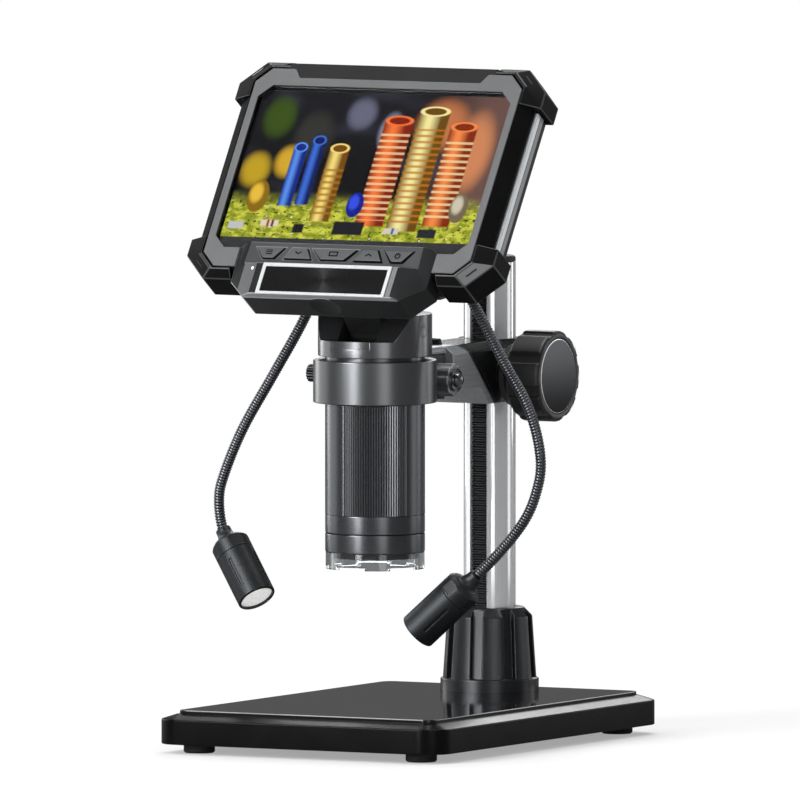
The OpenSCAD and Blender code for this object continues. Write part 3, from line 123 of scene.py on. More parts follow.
def between(tree, amount, a, b):
    """Mixes two colours, each a socket or a colour, by an amount."""
    node = tree.nodes.new("ShaderNodeMix")
    node.data_type = "RGBA"
    colour_a, colour_b = node.inputs[6], node.inputs[7]
    for value, socket in ((amount, node.inputs["Factor"]), (a, colour_a), (b, colour_b)):
        feed(tree, value, socket)
    return node.outputs[2]


def speckle(tree, place, scale, detail=2.0, rough=0.5):
    """Soft noise over a surface, from 0 to 1."""
    node = tree.nodes.new("ShaderNodeTexNoise")
    for title, value in (("Vector", place), ("Scale", scale), ("Detail", detail),
                         ("Roughness", rough)):
        feed(tree, value, node.inputs[title])
    return node.outputs["Fac"]


# fine grain of a sprayed or moulded skin, with soft patches where it has been handled
NOT_HANDLED = 0.42  # patches darker than this stay as they were moulded
WEAR_RISE = 2.2
WEAR_MOST = 0.6
FLECK_SHARE = 0.35
GRAIN_SHARE = 0.4
MEAN_NOISE = 0.7
skin_group, skin_in, skin_out = new_effect(
    "moulded_skin",
    [("Colour", "Color", (0.1, 0.1, 0.1, 1)), ("Handled", "Color", (0.2, 0.2, 0.2, 1)),
     ("Grain", "Float", 2500.0), ("Patch", "Float", 60.0), ("Roughness", "Float", 0.4),
     ("Spread", "Float", 0.15)],
    [("Colour", "Color"), ("Roughness", "Float"), ("Height", "Float")])
place = skin_group.nodes.new("ShaderNodeTexCoord").outputs["Object"]
grain = speckle(skin_group, place, skin_in.outputs["Grain"], 2.0, 0.6)
patch = speckle(skin_group, place, skin_in.outputs["Patch"], 4.0, 0.6)
worn = maths(skin_group, "MULTIPLY", maths(skin_group, "SUBTRACT", patch, NOT_HANDLED), WEAR_RISE)
worn_limit = skin_group.nodes.new("ShaderNodeClamp")
feed(skin_group, worn, worn_limit.inputs[0])
fleck = maths(skin_group, "MULTIPLY", grain, FLECK_SHARE)
amount = maths(skin_group, "ADD", worn_limit.outputs[0], fleck)
amount = maths(skin_group, "MULTIPLY", amount, WEAR_MOST)
mixed_tone = between(skin_group, amount, skin_in.outputs["Colour"], skin_in.outputs["Handled"])
feed(skin_group, mixed_tone, skin_out.inputs["Colour"])
wander = maths(skin_group, "ADD", patch, maths(skin_group, "MULTIPLY", grain, GRAIN_SHARE))
wander = maths(skin_group, "SUBTRACT", wander, MEAN_NOISE)
wander = maths(skin_group, "MULTIPLY", wander, skin_in.outputs["Spread"])
feed(skin_group, maths(skin_group, "ADD", skin_in.outputs["Roughness"], wander),
     skin_out.inputs["Roughness"])
feed(skin_group, grain, skin_out.inputs["Height"])
RELIEF = 0.0001  # height of a bump, in metres


def surface(name, effect, values, bump, **own):
    """A material: an effect's colour, roughness and height on one surface shader."""
    material = bpy.data.materials.new(name)
    material.use_nodes = True
    tree = material.node_tree
    shader = tree.nodes["Principled BSDF"]
    source = tree.nodes.new("ShaderNodeGroup")
    source.node_tree = effect
    for title, value in values.items():
        source.inputs[title].default_value = value
    tree.links.new(source.outputs["Colour"], shader.inputs["Base Color"])
    tree.links.new(source.outputs["Roughness"], shader.inputs["Roughness"])
    if bump:
        relief = tree.nodes.new("ShaderNodeBump")
        relief.inputs["Strength"].default_value = bump
        relief.inputs["Distance"].default_value = RELIEF
        tree.links.new(source.outputs["Height"], relief.inputs["Height"])
        tree.links.new(relief.outputs["Normal"], shader.inputs["Normal"])
    for title, value in own.items():
        shader.inputs[title.replace("_", " ")].default_value = value
    return material


def skin(name, colour, handled, roughness, spread=0.12, grain=2500.0, patch=60.0, bump=0.25,
         **own):
    values = {"Colour": tone(colour), "Handled": tone(handled), "Grain": grain, "Patch": patch,
              "Roughness": roughness, "Spread": spread}
    return surface(name, skin_group, values, bump, **own)


SHARP_CORNER = math.radians(30)  # edges sharper than this are eased
NEARLY_FLAT = math.radians(0.5)  # faces that meet flatter than this are one face


def eased(node, width, steps=1, edge_slot=0):
    """A copy of a solid with the sharp edges eased, as tumbling or a mould leaves them."""
    shape = bmesh.new()
    shape.from_mesh(nodes[node].data)
    bmesh.ops.remove_doubles(shape, verts=shape.verts, dist=1e-6)
    bmesh.ops.dissolve_limit(shape, angle_limit=NEARLY_FLAT, verts=shape.verts,
                             edges=shape.edges)
    bmesh.ops.connect_verts_concave(shape, faces=shape.faces)
    if width:
        sharp = [e for e in shape.edges
                 if len(e.link_faces) == 2 and e.calc_face_angle(0.0) > SHARP_CORNER]
        made = bmesh.ops.bevel(shape, geom=sharp, offset=width * MM, offset_type="OFFSET",
                               segments=steps, profile=0.5, affect="EDGES",
                               clamp_overlap=False, material=-1)["faces"]
        for face in made:
            face.material_index = edge_slot
    return shape


def set_in_place(name, shape, body, node, materials, whole=False, crease=30):
    """Makes a finished piece of a shape and fastens it to its body.

    A whole piece takes the solid's place; any other is fitted to the solid.
    """
    mesh = bpy.data.meshes.new(name)
    shape.to_mesh(mesh)
    shape.free()
    mesh.polygons.foreach_set("use_smooth", [True] * len(mesh.polygons))
    mesh.set_sharp_from_angle(angle=math.radians(crease))
    for material in materials:
        mesh.materials.append(material)
    piece = put(name, mesh)
    flats = piece.modifiers.new("flats_stay_flat", "WEIGHTED_NORMAL")
    flats.keep_sharp = True
    flats.weight = 100
    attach(piece, body)
    if whole:
        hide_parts(node)


def dress(node, name, body, materials, width=0.0, steps=1, edge_slot=0, crease=30):
    """Puts a finished piece in a solid's place: the solid's own shape with its edges eased."""
    shape = eased(node, width, steps, edge_slot)
    set_in_place(name, shape, body, node, materials, True, crease)


def finish_node(node, material):
    """A solid whose shape is right as it is only gets its finish."""
    data = nodes[node].data
    data.materials.clear()
    data.materials.append(material)


casting_paint = skin("casting_paint", "060607", "0b0b0c", 0.24, grain=1800.0, bump=0.3,
                     Specular_IOR_Level=0.14)
dress("base_casting", "base_casting_painted", "stand", [casting_paint], 0.4, 2)
plate_gloss = skin("plate_gloss", "0a0a0b", "0e0e10", 0.08, spread=0.04, grain=400.0, patch=12.0,
                   bump=0.02)
dress("top_plate", "stage_plate", "stand", [plate_gloss], 0.35, 2)

# ---------------------------------------------------------------- feet and base screws
# Moulded rubber feet, each held by a zinc-plated screw, and the bolt that pulls the column's
# socket and the column down on the casting.
foot_rubber = skin("foot_rubber", "191919", "242424", 0.85, grain=1500.0, bump=0.6)
finish_node("rubber_feet", foot_rubber)


def metal(name, colour, worn, roughness, spread=0.1, grain=1200.0, patch=40.0, bump=0.12, **own):
    return skin(name, colour, worn, roughness, spread, grain, patch, bump, Metallic=1.0, **own)


zinc = metal("zinc_plate", "a9abad", "8b8d8f", 0.32)
finish_node("base_screws", zinc)

# ---------------------------------------------------------------- column socket
# A tapered aluminium socket with grooves milled up it all round, anodised black. It stands on
# its flange, and the column's foot sits down in it.
anodised = skin("anodised_black", "17181a", "232527", 0.26, spread=0.1, grain=2600.0, bump=0.15,
                Metallic=0.35)
socket_metal = skin("socket_anodised", "3c3d3f", "48494b", 0.3, spread=0.06, grain=2600.0,
                    bump=0.05, Metallic=0.8)
dress("column_socket", "column_socket_turned", "stand", [socket_metal], 0.4, 2)

# ---------------------------------------------------------------- column, rack and cap
# A polished and chromed steel column. A black hobbed steel rack lies in a slot down its front,
# and a moulded plug closes its top.
brushed_group, brushed_in, brushed_out = new_effect(
    "brushed_lines",
    [("Colour", "Color", (0.5, 0.5, 0.5, 1)), ("Line", "Color", (0.3, 0.3, 0.3, 1)),
     ("Stretch", "Vector", (1.0, 1.0, 1.0)), ("Roughness", "Float", 0.3),
     ("Spread", "Float", 0.15)],
    [("Colour", "Color"), ("Roughness", "Float"), ("Height", "Float")])


def vectors(tree, how, a, b, result="Vector"):
    """A vector math node between two places."""
    node = tree.nodes.new("ShaderNodeVectorMath")
    node.operation = how
    feed(tree, a, node.inputs[0])
    feed(tree, b, node.inputs[1])
    return node.outputs[result]


place = brushed_group.nodes.new("ShaderNodeTexCoord").outputs["Object"]
place = vectors(brushed_group, "MULTIPLY", place, brushed_in.outputs["Stretch"])
lines = speckle(brushed_group, place, 1.0, 3.0, 0.7)
mixed_tone = between(brushed_group, lines, brushed_in.outputs["Line"], brushed_in.outputs["Colour"])
feed(brushed_group, mixed_tone, brushed_out.inputs["Colour"])
wander = maths(brushed_group, "SUBTRACT", lines, 0.5)
wander = maths(brushed_group, "MULTIPLY", wander, brushed_in.outputs["Spread"])
feed(brushed_group, maths(brushed_group, "ADD", brushed_in.outputs["Roughness"], wander),
     brushed_out.inputs["Roughness"])
feed(brushed_group, lines, brushed_out.inputs["Height"])


def brushed(name, colour, line, stretch, roughness, spread=0.15, bump=0.1, **own):
    values = {"Colour": tone(colour), "Line": tone(line), "Stretch": stretch,
              "Roughness": roughness, "Spread": spread}
    return surface(name, brushed_group, values, bump, **own)


chrome = brushed("chrome", "f2f3f4", "dfe1e3", (900.0, 900.0, 12.0), 0.07, spread=0.05, bump=0.02,
                 Metallic=0.55)
dress("column", "column_chromed", "stand", [chrome], 0.2)
rack_steel = skin("rack_steel", "1d1e1f", "303234", 0.38, Metallic=0.6)
finish_node("rack", rack_steel)
cap_plastic = skin("cap_plastic", "151515", "202020", 0.5)
dress("column_cap", "column_plug", "stand", [cap_plastic], 0.3, 2)

# ---------------------------------------------------------------- carriage, joint and arm
# The carriage is a black-painted casting with its top edges bevelled. A bright shim lies in its
# slanting joint with the arm, whose top is brushed along its length before anodising.
carriage_paint = skin("carriage_paint", "1c1d1e", "28292a", 0.24, grain=2200.0, bump=0.08,
                      Metallic=0.45)
dress("carriage", "carriage_block", "carriage", [carriage_paint], 0.5, 2)
bush_plastic = skin("bush_plastic", "dcdad2", "c9c6bd", 0.5)
finish_node("carriage_bushes", bush_plastic)
shim_metal = metal("shim_metal", "6d6f71", "8d8f91", 0.3)
dress("joint_shim", "joint_shim_plate", "carriage", [shim_metal], 0.25)
arm_metal = brushed("arm_metal", "c4c6c8", "85878a", (1600.0, 40.0, 1600.0), 0.36, Metallic=0.6)
dress("arm", "arm_brushed", "carriage", [arm_metal], 0.45, 2)
black_steel = metal("black_steel", "3a3b3d", "2a2b2c", 0.34)
dress("arm_fasteners", "arm_cap_screw", "carriage", [black_steel], 0.2)

# ---------------------------------------------------------------- ring clamp and its screws
# A split aluminium ring, bead-blasted and anodised. A fluted knob on a domed bolt pulls its two
# ears together on the arm's tongue, and a small serrated screw bears on the barrel's left.
ring_metal = skin("ring_metal", "6c6e70", "707274", 0.28, spread=0.03, grain=3000.0, bump=0.04,
                  Metallic=0.9)
dress("ring_clamp", "ring_clamp_split", "carriage", [ring_metal], 0.4, 2)
fluted_metal = metal("fluted_metal", "b4b6b8", "9a9c9e", 0.4)
dress("clamp_knob", "clamp_knob_fluted", "clamp_screw", [fluted_metal], 0.35, 2)
bolt_chrome = metal("bolt_chrome", "8e9093", "727476", 0.16)
finish_node("clamp_bolt", bolt_chrome)
dress("side_thumbscrew", "thumbscrew_serrated", "thumbscrew", [black_steel], 0.12)

# ---------------------------------------------------------------- focus knob
# A moulded knob with broad raised grips and a turned, satin-anodised plate in its end. It is
# pressed on a ground steel shaft, on which the pinion is cut.
knob_plastic = skin("knob_plastic", "131314", "1e1e20", 0.42, grain=2000.0, bump=0.15,
                    Specular_IOR_Level=0.9)
dress("focus_knob", "focus_knob_gripped", "focus_knob", [knob_plastic], 0.45, 2)

turned_group, turned_in, turned_out = new_effect(
    "turned_rings",
    [("Colour", "Color", (0.1, 0.1, 0.1, 1)), ("Line", "Color", (0.05, 0.05, 0.05, 1)),
     ("Centre", "Vector", (0.0, 0.0, 0.0)), ("Rings", "Float", 2000.0),
     ("Roughness", "Float", 0.3), ("Spread", "Float", 0.2), ("Shade", "Float", 0.0)],
    [("Colour", "Color"), ("Roughness", "Float"), ("Height", "Float")])


def soften(tree, value, low, high, bottom=0.0, top=1.0):
    """A smooth rise from bottom to top while a value goes from low to high."""
    node = tree.nodes.new("ShaderNodeMapRange")
    node.interpolation_type = "SMOOTHSTEP"
    for title, given in (("Value", value), ("From Min", low), ("From Max", high),
                         ("To Min", bottom), ("To Max", top)):
        feed(tree, given, node.inputs[title])
    return node.outputs["Result"]


PAINTED_SHADE_REACH = 0.014  # the painted shade runs over this height above and below the centre, in metres
place = turned_group.nodes.new("ShaderNodeTexCoord").outputs["Object"]
radius = vectors(turned_group, "DISTANCE", place, turned_in.outputs["Centre"], "Value")
radius = maths(turned_group, "MULTIPLY", radius, turned_in.outputs["Rings"])
wave = maths(turned_group, "MULTIPLY", maths(turned_group, "SINE", radius), 0.5)
wave = maths(turned_group, "ADD", wave, 0.5)
upright = turned_group.nodes.new("ShaderNodeSeparateXYZ")
feed(turned_group, vectors(turned_group, "SUBTRACT", place, turned_in.outputs["Centre"]),
     upright.inputs[0])
# Shade darkens the colour towards the bottom, across the centre: a painted shade
darkest = maths(turned_group, "SUBTRACT", 1.0, turned_in.outputs["Shade"])
painted_shade = soften(turned_group, upright.outputs["Z"], -PAINTED_SHADE_REACH, PAINTED_SHADE_REACH, darkest)
metal_tone = between(turned_group, wave, turned_in.outputs["Line"], turned_in.outputs["Colour"])
metal_tone = between(turned_group, painted_shade, (0.0, 0.0, 0.0, 1.0), metal_tone)
feed(turned_group, metal_tone, turned_out.inputs["Colour"])
wander = maths(turned_group, "MULTIPLY", wave, turned_in.outputs["Spread"])
feed(turned_group, maths(turned_group, "ADD", turned_in.outputs["Roughness"], wander),
     turned_out.inputs["Roughness"])
feed(turned_group, wave, turned_out.inputs["Height"])


def turned(name, colour, line, centre, rings, roughness, spread=0.1, bump=0.3, painted_shade=0.0, **own):
    values = {"Colour": tone(colour), "Line": tone(line), "Shade": painted_shade, "Rings": rings,
              "Centre": tuple(c * MM for c in centre), "Roughness": roughness, "Spread": spread}
    return surface(name, turned_group, values, bump, **own)


# the end plate's colour is painted darker towards its bottom: a painted shade
cap_metal = turned("knob_cap_metal", "6c6e71", "5e6063", (37.3, 79.6, 122.6), 14000.0, 0.3,
                   bump=0.1, painted_shade=0.98, Metallic=0.7, Specular_IOR_Level=0.02)
cap_rim = metal("knob_cap_rim", "d8dadb", "c4c6c8", 0.25)
dress("focus_knob_cap", "focus_knob_plate", "focus_knob",
      [cap_metal, cap_rim], 0.5, 2, edge_slot=1)
shaft_steel = metal("shaft_steel", "b4b6b8", "999b9d", 0.25)
finish_node("pinion_shaft", shaft_steel)

# ---------------------------------------------------------------- barrel and focus sleeve
# Turned aluminium tubes, anodised dark grey. The focus sleeve has three panels of fine upright
# ribs, milled between smooth strips, and two plain rings close its lower end.
barrel_metal = brushed("barrel_metal", "626467", "5f6164", (60.0, 60.0, 2600.0), 0.25, spread=0.02,
                       bump=0.0, Metallic=0.92)
dress("barrel_tube", "barrel_tube_turned", "barrel", [barrel_metal], 0.2)
dress("focus_sleeve", "focus_sleeve_ribbed", "sleeve", [barrel_metal], crease=24)
for ring in ("barrel_band", "hood_ring"):
    dress(ring, ring + "_turned", "barrel", [barrel_metal], 0.35, 2)

# ---------------------------------------------------------------- lens, sensor and ring light
# The lens cell slides in the tube on a key that the sleeve drives. The ring light is a black
# moulded ring with bright LEDs, inside a clear moulded hood with tabs along its edge.
cell_metal = metal("cell_metal", "2e3032", "3d3f41", 0.35)
finish_node("lens_cell", cell_metal)
board_mask = skin("board_mask", "14512c", "1d6b3a", 0.35, grain=900.0)
finish_node("sensor_board", board_mask)
finish_node("main_board", board_mask)
ring_light_black = skin("ring_light_black", "0d0d0e", "191a1b", 0.45)
dress("led_ring", "ring_light_body", "barrel", [ring_light_black], 0.15)
led_resin = skin("led_resin", "f5efc9", "efe6a8", 0.3, grain=600.0, bump=0.0,
                 Emission_Color=(1.0, 0.96, 0.82, 1.0), Emission_Strength=0.3)
finish_node("ring_leds", led_resin)


def clear(name, colour, roughness, index):
    return skin(name, colour, colour, roughness, 0.03, grain=700.0, patch=25.0, bump=0.02,
                Transmission_Weight=1.0, IOR=index)


hood_clear = clear("hood_clear", "f2f6f8", 0.04, 1.46)
dress("clear_hood", "clear_hood_moulded", "barrel", [hood_clear], 0.15)
lens_glass = clear("lens_glass", "eef6fb", 0.01, 1.5)
finish_node("objective_lens", lens_glass)

# ---------------------------------------------------------------- collar and hinge pin
# The collar is milled from one piece with the barrel's head: its front is cut down, and a flat
# seat leans with the display. A ground pin in it carries the head.
collar_metal = brushed("collar_metal", "747578", "707174", (60.0, 60.0, 2600.0), 0.25,
                       spread=0.03, bump=0.0, Metallic=0.92)
dress("barrel_collar", "barrel_collar_milled", "barrel", [collar_metal], 0.3, 2)
finish_node("hinge_pin", black_steel)
COLLAR_R = 21.85
RIM_TOP = 140.4
SLOT_FLOOR = 137.6
SLOT_HALF = 8.3
BRIDGE_HALF = 1.0  # half the bridge's depth from the collar's round face
PIN_R = 2.02
PIN_Y, PIN_Z = -1.5, 143.7
PLUG_DEPTH = 0.5
PLUG_SINK = 0.27  # from the collar's round face to a plug's middle
PLUG_CUT = 0.35  # spacing of the cuts that let a plug follow the round face


def cut(shape, spot, way):
    """Cuts the faces of a whole shape along a plane."""
    bmesh.ops.bisect_plane(shape, geom=[*shape.verts, *shape.edges, *shape.faces],
                           plane_co=spot, plane_no=way)


reach = math.asin(SLOT_HALF / COLLAR_R)
shape = bmesh.new()
made = bmesh.ops.create_grid(shape, x_segments=1, y_segments=1, size=BRIDGE_HALF * MM)["verts"]
bmesh.ops.scale(shape, verts=made, vec=(1.0, 0.5 * (RIM_TOP - SLOT_FLOOR) / BRIDGE_HALF, 1.0))
bmesh.ops.rotate(shape, verts=made, matrix=Matrix.Rotation(math.pi / 2, 3, "X"))
bmesh.ops.translate(shape, verts=made,
                    vec=Vector((COLLAR_R - BRIDGE_HALF, 0.0, (RIM_TOP + SLOT_FLOOR) / 2)) * MM)
bmesh.ops.rotate(shape, verts=made, matrix=Matrix.Rotation(-math.pi / 2 - reach, 3, "Z"))
bmesh.ops.spin(shape, geom=[*shape.verts, *shape.edges, *shape.faces], cent=(0.0, 0.0, 0.0),
               axis=(0.0, 0.0, 1.0), angle=2 * reach, steps=16, use_merge=False,
               use_duplicate=False)
bmesh.ops.recalc_face_normals(shape, faces=shape.faces)
set_in_place("collar_rim_bridge", shape, "barrel", "barrel_collar", [collar_metal])
shape = bmesh.new()
for s in (-1, 1):
    plug = bmesh.ops.create_cone(shape, cap_ends=True, segments=32, radius1=PIN_R * MM,
                                 radius2=PIN_R * MM, depth=PLUG_DEPTH * MM)["verts"]
    bmesh.ops.rotate(shape, verts=plug, matrix=Matrix.Rotation(math.pi / 2, 3, "Y"))
    bmesh.ops.translate(shape, verts=plug,
                        vec=Vector((s * (COLLAR_R - PLUG_SINK), PIN_Y, PIN_Z)) * MM)
for step in range(-5, 6):
    cut(shape, Vector((0.0, PIN_Y + PLUG_CUT * step, 0.0)) * MM, (0.0, 1.0, 0.0))
for vert in shape.verts:
    along = vert.co.y / MM
    hollow = (COLLAR_R - math.sqrt(COLLAR_R**2 - along**2)) * MM
    vert.co.x -= math.copysign(hollow, vert.co.x)
set_in_place("hinge_pin_plugs", shape, "barrel", "hinge_pin", [collar_metal])

# ---------------------------------------------------------------- display head: frame and bezel
# The front frame is moulded in satin black, with a textured strip let into its top. The bezel is
# a grey plate on it, whose opening has dark slanting edges down to the glass.
HEAD_SPOT = Vector((0.0, -6.5, 206.4))
HEAD_TILT = math.radians(90.0 - 33.6)
head_place = Matrix.Translation(HEAD_SPOT * MM) @ Matrix.Rotation(HEAD_TILT, 4, "X")
to_head = head_place.inverted()


def in_head(point):
    """A point in the display's own frame, in mm: across, up the display and out of it."""
    return to_head @ Vector(point) / MM


def middle_of(face):
    """A face's middle, in the display's own frame."""
    return in_head(face.calc_center_median())


def facing(face):
    """The way a face looks, in the display's own frame."""
    return to_head.to_3x3() @ face.normal


frame_black = skin("frame_black", "09090a", "101112", 0.55, grain=2600.0, bump=0.18,
                   Specular_IOR_Level=0.04)
strip_texture = skin("strip_texture", "202021", "28282a", 0.6, grain=1500.0, bump=0.7,
                     Specular_IOR_Level=0.2)
BROW_HALF = 44.6
BROW_FOOT = 41.2  # the brow is what stands above this
BROW_LIFT = Vector((0.0, 2.0, 0.0))
STRIP_FOOT, STRIP_FRONT = 37.2, 1.9  # the strip lies above the first and before the second
shape = eased("front_frame", 0.3, 2)
for s in (-1, 1):
    cut(shape, head_place @ (Vector((s * BROW_HALF, 0.0, 0.0)) * MM), (1.0, 0.0, 0.0))
lift = head_place.to_3x3() @ BROW_LIFT * MM
for vert in shape.verts:
    u, v, w = in_head(vert.co)
    if v > BROW_FOOT and abs(u) < BROW_HALF + 0.05:
        vert.co += lift
bmesh.ops.connect_verts_nonplanar(shape, angle_limit=math.radians(1.0), faces=shape.faces)
for face in shape.faces:
    u, v, w = middle_of(face)
    if v > STRIP_FOOT and abs(u) < BROW_HALF and w > STRIP_FRONT:
        face.material_index = 1
set_in_place("front_frame_moulded", shape, "head", "front_frame", [frame_black, strip_texture],
             whole=True)
bezel_grey = skin("bezel_grey", "5e5f60", "686a6b", 0.5, spread=0.08, grain=3200.0, bump=0.2,
                  Specular_IOR_Level=0.25)
window_black = skin("window_black", "121213", "1c1c1e", 0.4, Specular_IOR_Level=0.25)
WINDOW_HALF, WINDOW_LOW, WINDOW_HIGH = 55.2, -39.0, 34.4
FACES_OUT = 0.6  # faces of the opening look less than this share out of the display
shape = eased("bezel", 0.2)
for face in shape.faces:
    u, v, w = middle_of(face)
    in_window = abs(u) < WINDOW_HALF and WINDOW_LOW < v < WINDOW_HIGH
    if abs(facing(face).z) < FACES_OUT and in_window:
        face.material_index = 1
set_in_place("bezel_plate", shape, "head", "bezel", [bezel_grey, window_black], whole=True)

# ---------------------------------------------------------------- display panel and glass
# The panel lies behind a clear cover glass. It shows a made-up picture: upright rods over a
# mottled ground, with soft discs far behind them.
finish_node("lcd_panel", window_black)
cover_clear = clear("cover_clear", "f4f6f8", 0.02, 1.2)
dress("cover_glass", "cover_glass_clear", "head", [cover_clear])
LIT_WIDE, LIT_HIGH = 108.0 * MM, 64.8 * MM
PICTURE_SHAPE = 1.6667  # its width in heights, in which all sizes across it are given
PICTURE_SINK = 0.03 * MM
shape = bmesh.new()
bmesh.ops.create_grid(shape, x_segments=1, y_segments=1, size=0.5)
bmesh.ops.scale(shape, verts=shape.verts, vec=(LIT_WIDE, LIT_HIGH, 1.0))
bmesh.ops.translate(shape, verts=shape.verts, vec=(0.0, 0.0, -PICTURE_SINK))
picture_map = shape.loops.layers.uv.new("picture")
for face in shape.faces:
    for loop in face.loops:
        spot = loop.vert.co
        loop[picture_map].uv = (spot.x / LIT_WIDE + 0.5, spot.y / LIT_HIGH + 0.5)

picture = bpy.data.materials.new("picture")
picture.use_nodes = True
tree = picture.node_tree
uv = tree.nodes.new("ShaderNodeUVMap")
uv.uv_map = "picture"
axes = tree.nodes.new("ShaderNodeSeparateXYZ")
tree.links.new(uv.outputs[0], axes.inputs[0])
across = maths(tree, "MULTIPLY", axes.outputs["X"], PICTURE_SHAPE)
up = axes.outputs["Y"]


def disc(x, y, rx, ry, blur):
    """Mask of an oval in the picture, with a blurred edge."""
    dx = maths(tree, "DIVIDE", maths(tree, "SUBTRACT", across, x), rx)
    dy = maths(tree, "DIVIDE", maths(tree, "SUBTRACT", up, y), ry)
    far = maths(tree, "ADD", maths(tree, "MULTIPLY", dx, dx), maths(tree, "MULTIPLY", dy, dy))
    return soften(tree, far, 1.0 + blur, 1.0 - blur)


def panel(x, y, hx, hy, blur):
    """Mask of an upright rectangle in the picture."""
    dx = maths(tree, "ABSOLUTE", maths(tree, "SUBTRACT", across, x))
    dy = maths(tree, "ABSOLUTE", maths(tree, "SUBTRACT", up, y))
    past = maths(tree, "MAXIMUM", maths(tree, "SUBTRACT", dx, hx), maths(tree, "SUBTRACT", dy, hy))
    return soften(tree, past, blur, -blur)


def rounding(x, half, dark, light):
    """Light across an upright round body: dark at its sides, bright left of its middle."""
    node = tree.nodes.new("ShaderNodeMapRange")
    tree.links.new(across, node.inputs["Value"])
    node.inputs["From Min"].default_value = x - half
    node.inputs["From Max"].default_value = x + half
    ramp = tree.nodes.new("ShaderNodeValToRGB")
    tree.links.new(node.outputs["Result"], ramp.inputs["Fac"])
    stops = ramp.color_ramp.elements
    stops[0].color, stops[1].color = tone(dark), tone(dark)
    for at, colour in ((0.3, light), (0.42, light), (0.75, dark)):
        stops.new(at).color = tone(colour)
    return ramp.outputs["Color"]


# the dark distance, its haze and the soft discs in it
ground = between(tree, soften(tree, up, 0.45, 0.98), tone("0a0a0c"), tone("17161c"))
ground = between(tree, soften(tree, across, 1.1, 1.6), ground, tone("6e5048"))
haze = soften(tree, speckle(tree, uv.outputs[0], 3.0, 1.0), 0.5, 0.75)
ground = between(tree, maths(tree, "MULTIPLY", haze, 0.5), ground, tone("4a4a58"))
for x, y, rx, ry, colour in (
        (0.16, 0.82, 0.10, 0.13, "3a5210"), (0.42, 0.70, 0.12, 0.16, "33322e"),
        (0.70, 0.86, 0.09, 0.10, "6b6a80"), (1.25, 0.80, 0.16, 0.16, "c9784a"),
        (1.50, 0.62, 0.12, 0.25, "d98a5a"), (0.92, 0.74, 0.07, 0.12, "9a9cb4"),
        (0.10, 0.46, 0.09, 0.11, "c9a51e"), (0.30, 0.52, 0.08, 0.10, "dcae2c")):
    ground = between(tree, disc(x, y, rx, ry, 0.8), ground, tone(colour))

# the mottled ground along the lower edge
mottle = soften(tree, speckle(tree, uv.outputs[0], 26.0, 3.0), 0.42, 0.62)
mottle = between(tree, mottle, tone("8f9a1e"), tone("d8d84a"))
for scale, low, high, colour in ((60.0, 0.58, 0.66, "2c2f10"), (45.0, 0.66, 0.72, "f6f3dc")):
    spots = soften(tree, speckle(tree, uv.outputs[0], scale), low, high)
    mottle = between(tree, spots, mottle, tone(colour))
ground = between(tree, soften(tree, up, 0.33, 0.19), ground, mottle)

# the rods: a round body each, and a ring and a hole in its top
for x, y, half, high, dark, light in (
        (0.36, 0.42, 0.045, 0.20, "0e2a8a", "5a92f0"),
        (0.47, 0.45, 0.045, 0.22, "0c1c5c", "3d6fd8"),
        (0.62, 0.37, 0.065, 0.25, "7a4a08", "ffe07a"),
        (0.96, 0.46, 0.095, 0.36, "8a1f06", "ff7a38"),
        (1.18, 0.48, 0.100, 0.41, "6f4a08", "fff0a0"),
        (1.40, 0.45, 0.090, 0.34, "8a2a08", "ff8c46")):
    body_light = rounding(x, half, dark, light)
    ground = between(tree, panel(x, y, half, high, 0.006), ground, body_light)
    ground = between(tree, disc(x, y + high, half, 0.035, 0.15), ground, tone(light))
    ground = between(tree, disc(x, y + high, half * 0.72, 0.024, 0.2), ground, tone(dark))

# the stripes wound round four of them
stripe = soften(tree, maths(tree, "SINE", maths(tree, "MULTIPLY", up, 150.0)), 0.1, 0.6)
for x, y, half, high, colour in (
        (0.62, 0.33, 0.066, 0.17, "b4780c"), (0.96, 0.44, 0.096, 0.30, "ffd9a0"),
        (1.18, 0.44, 0.101, 0.33, "c8780e"), (1.40, 0.43, 0.091, 0.28, "ffe2a6")):
    mask = maths(tree, "MULTIPLY", panel(x, y, half, high, 0.006), stripe)
    ground = between(tree, maths(tree, "MULTIPLY", mask, 0.75), ground, tone(colour))

# small round bodies, then small flat blocks, on the ground before them
for x, y, rx, ry, dark, light in ((0.17, 0.28, 0.07, 0.11, "8f6c0a", "f2c440"),
                                  (0.83, 0.24, 0.055, 0.085, "0a1c8c", "3450e8"),
                                  (1.52, 0.24, 0.06, 0.10, "7a6a50", "d8cdb4")):
    ground = between(tree, disc(x, y, rx, ry, 0.12), ground, tone(dark))
    bright = disc(x - 0.2 * rx, y + 0.2 * ry, 0.6 * rx, 0.6 * ry, 0.7)
    ground = between(tree, bright, ground, tone(light))
for x, y, hx, hy, colour in (
        (0.30, 0.10, 0.06, 0.022, "e8d9c0"), (0.29, 0.10, 0.008, 0.023, "b03020"),
        (0.32, 0.10, 0.008, 0.023, "503020"), (0.50, 0.07, 0.035, 0.03, "17171a"),
        (0.83, 0.08, 0.10, 0.045, "1c1c22"), (1.12, 0.07, 0.05, 0.020, "e0d2ba"),
        (1.13, 0.07, 0.008, 0.021, "2f5fb0"), (1.36, 0.06, 0.06, 0.03, "26262c"),
        (0.08, 0.08, 0.05, 0.025, "c9c9c4")):
    ground = between(tree, panel(x, y, hx, hy, 0.006), ground, tone(colour))
shader = tree.nodes["Principled BSDF"]
shader.inputs["Base Color"].default_value = (0.0, 0.0, 0.0, 1.0)
shader.inputs["Roughness"].default_value = 0.6
shader.inputs["Specular IOR Level"].default_value = 0.0
shader.inputs["Emission Strength"].default_value = 1.0
tree.links.new(ground, shader.inputs["Emission Color"])


def on_head(name, shape, body, node, materials):
    """Sets a piece that was made in the display's own frame in its place on the head."""
    bmesh.ops.transform(shape, matrix=head_place, verts=shape.verts)
    set_in_place(name, shape, body, node, materials)


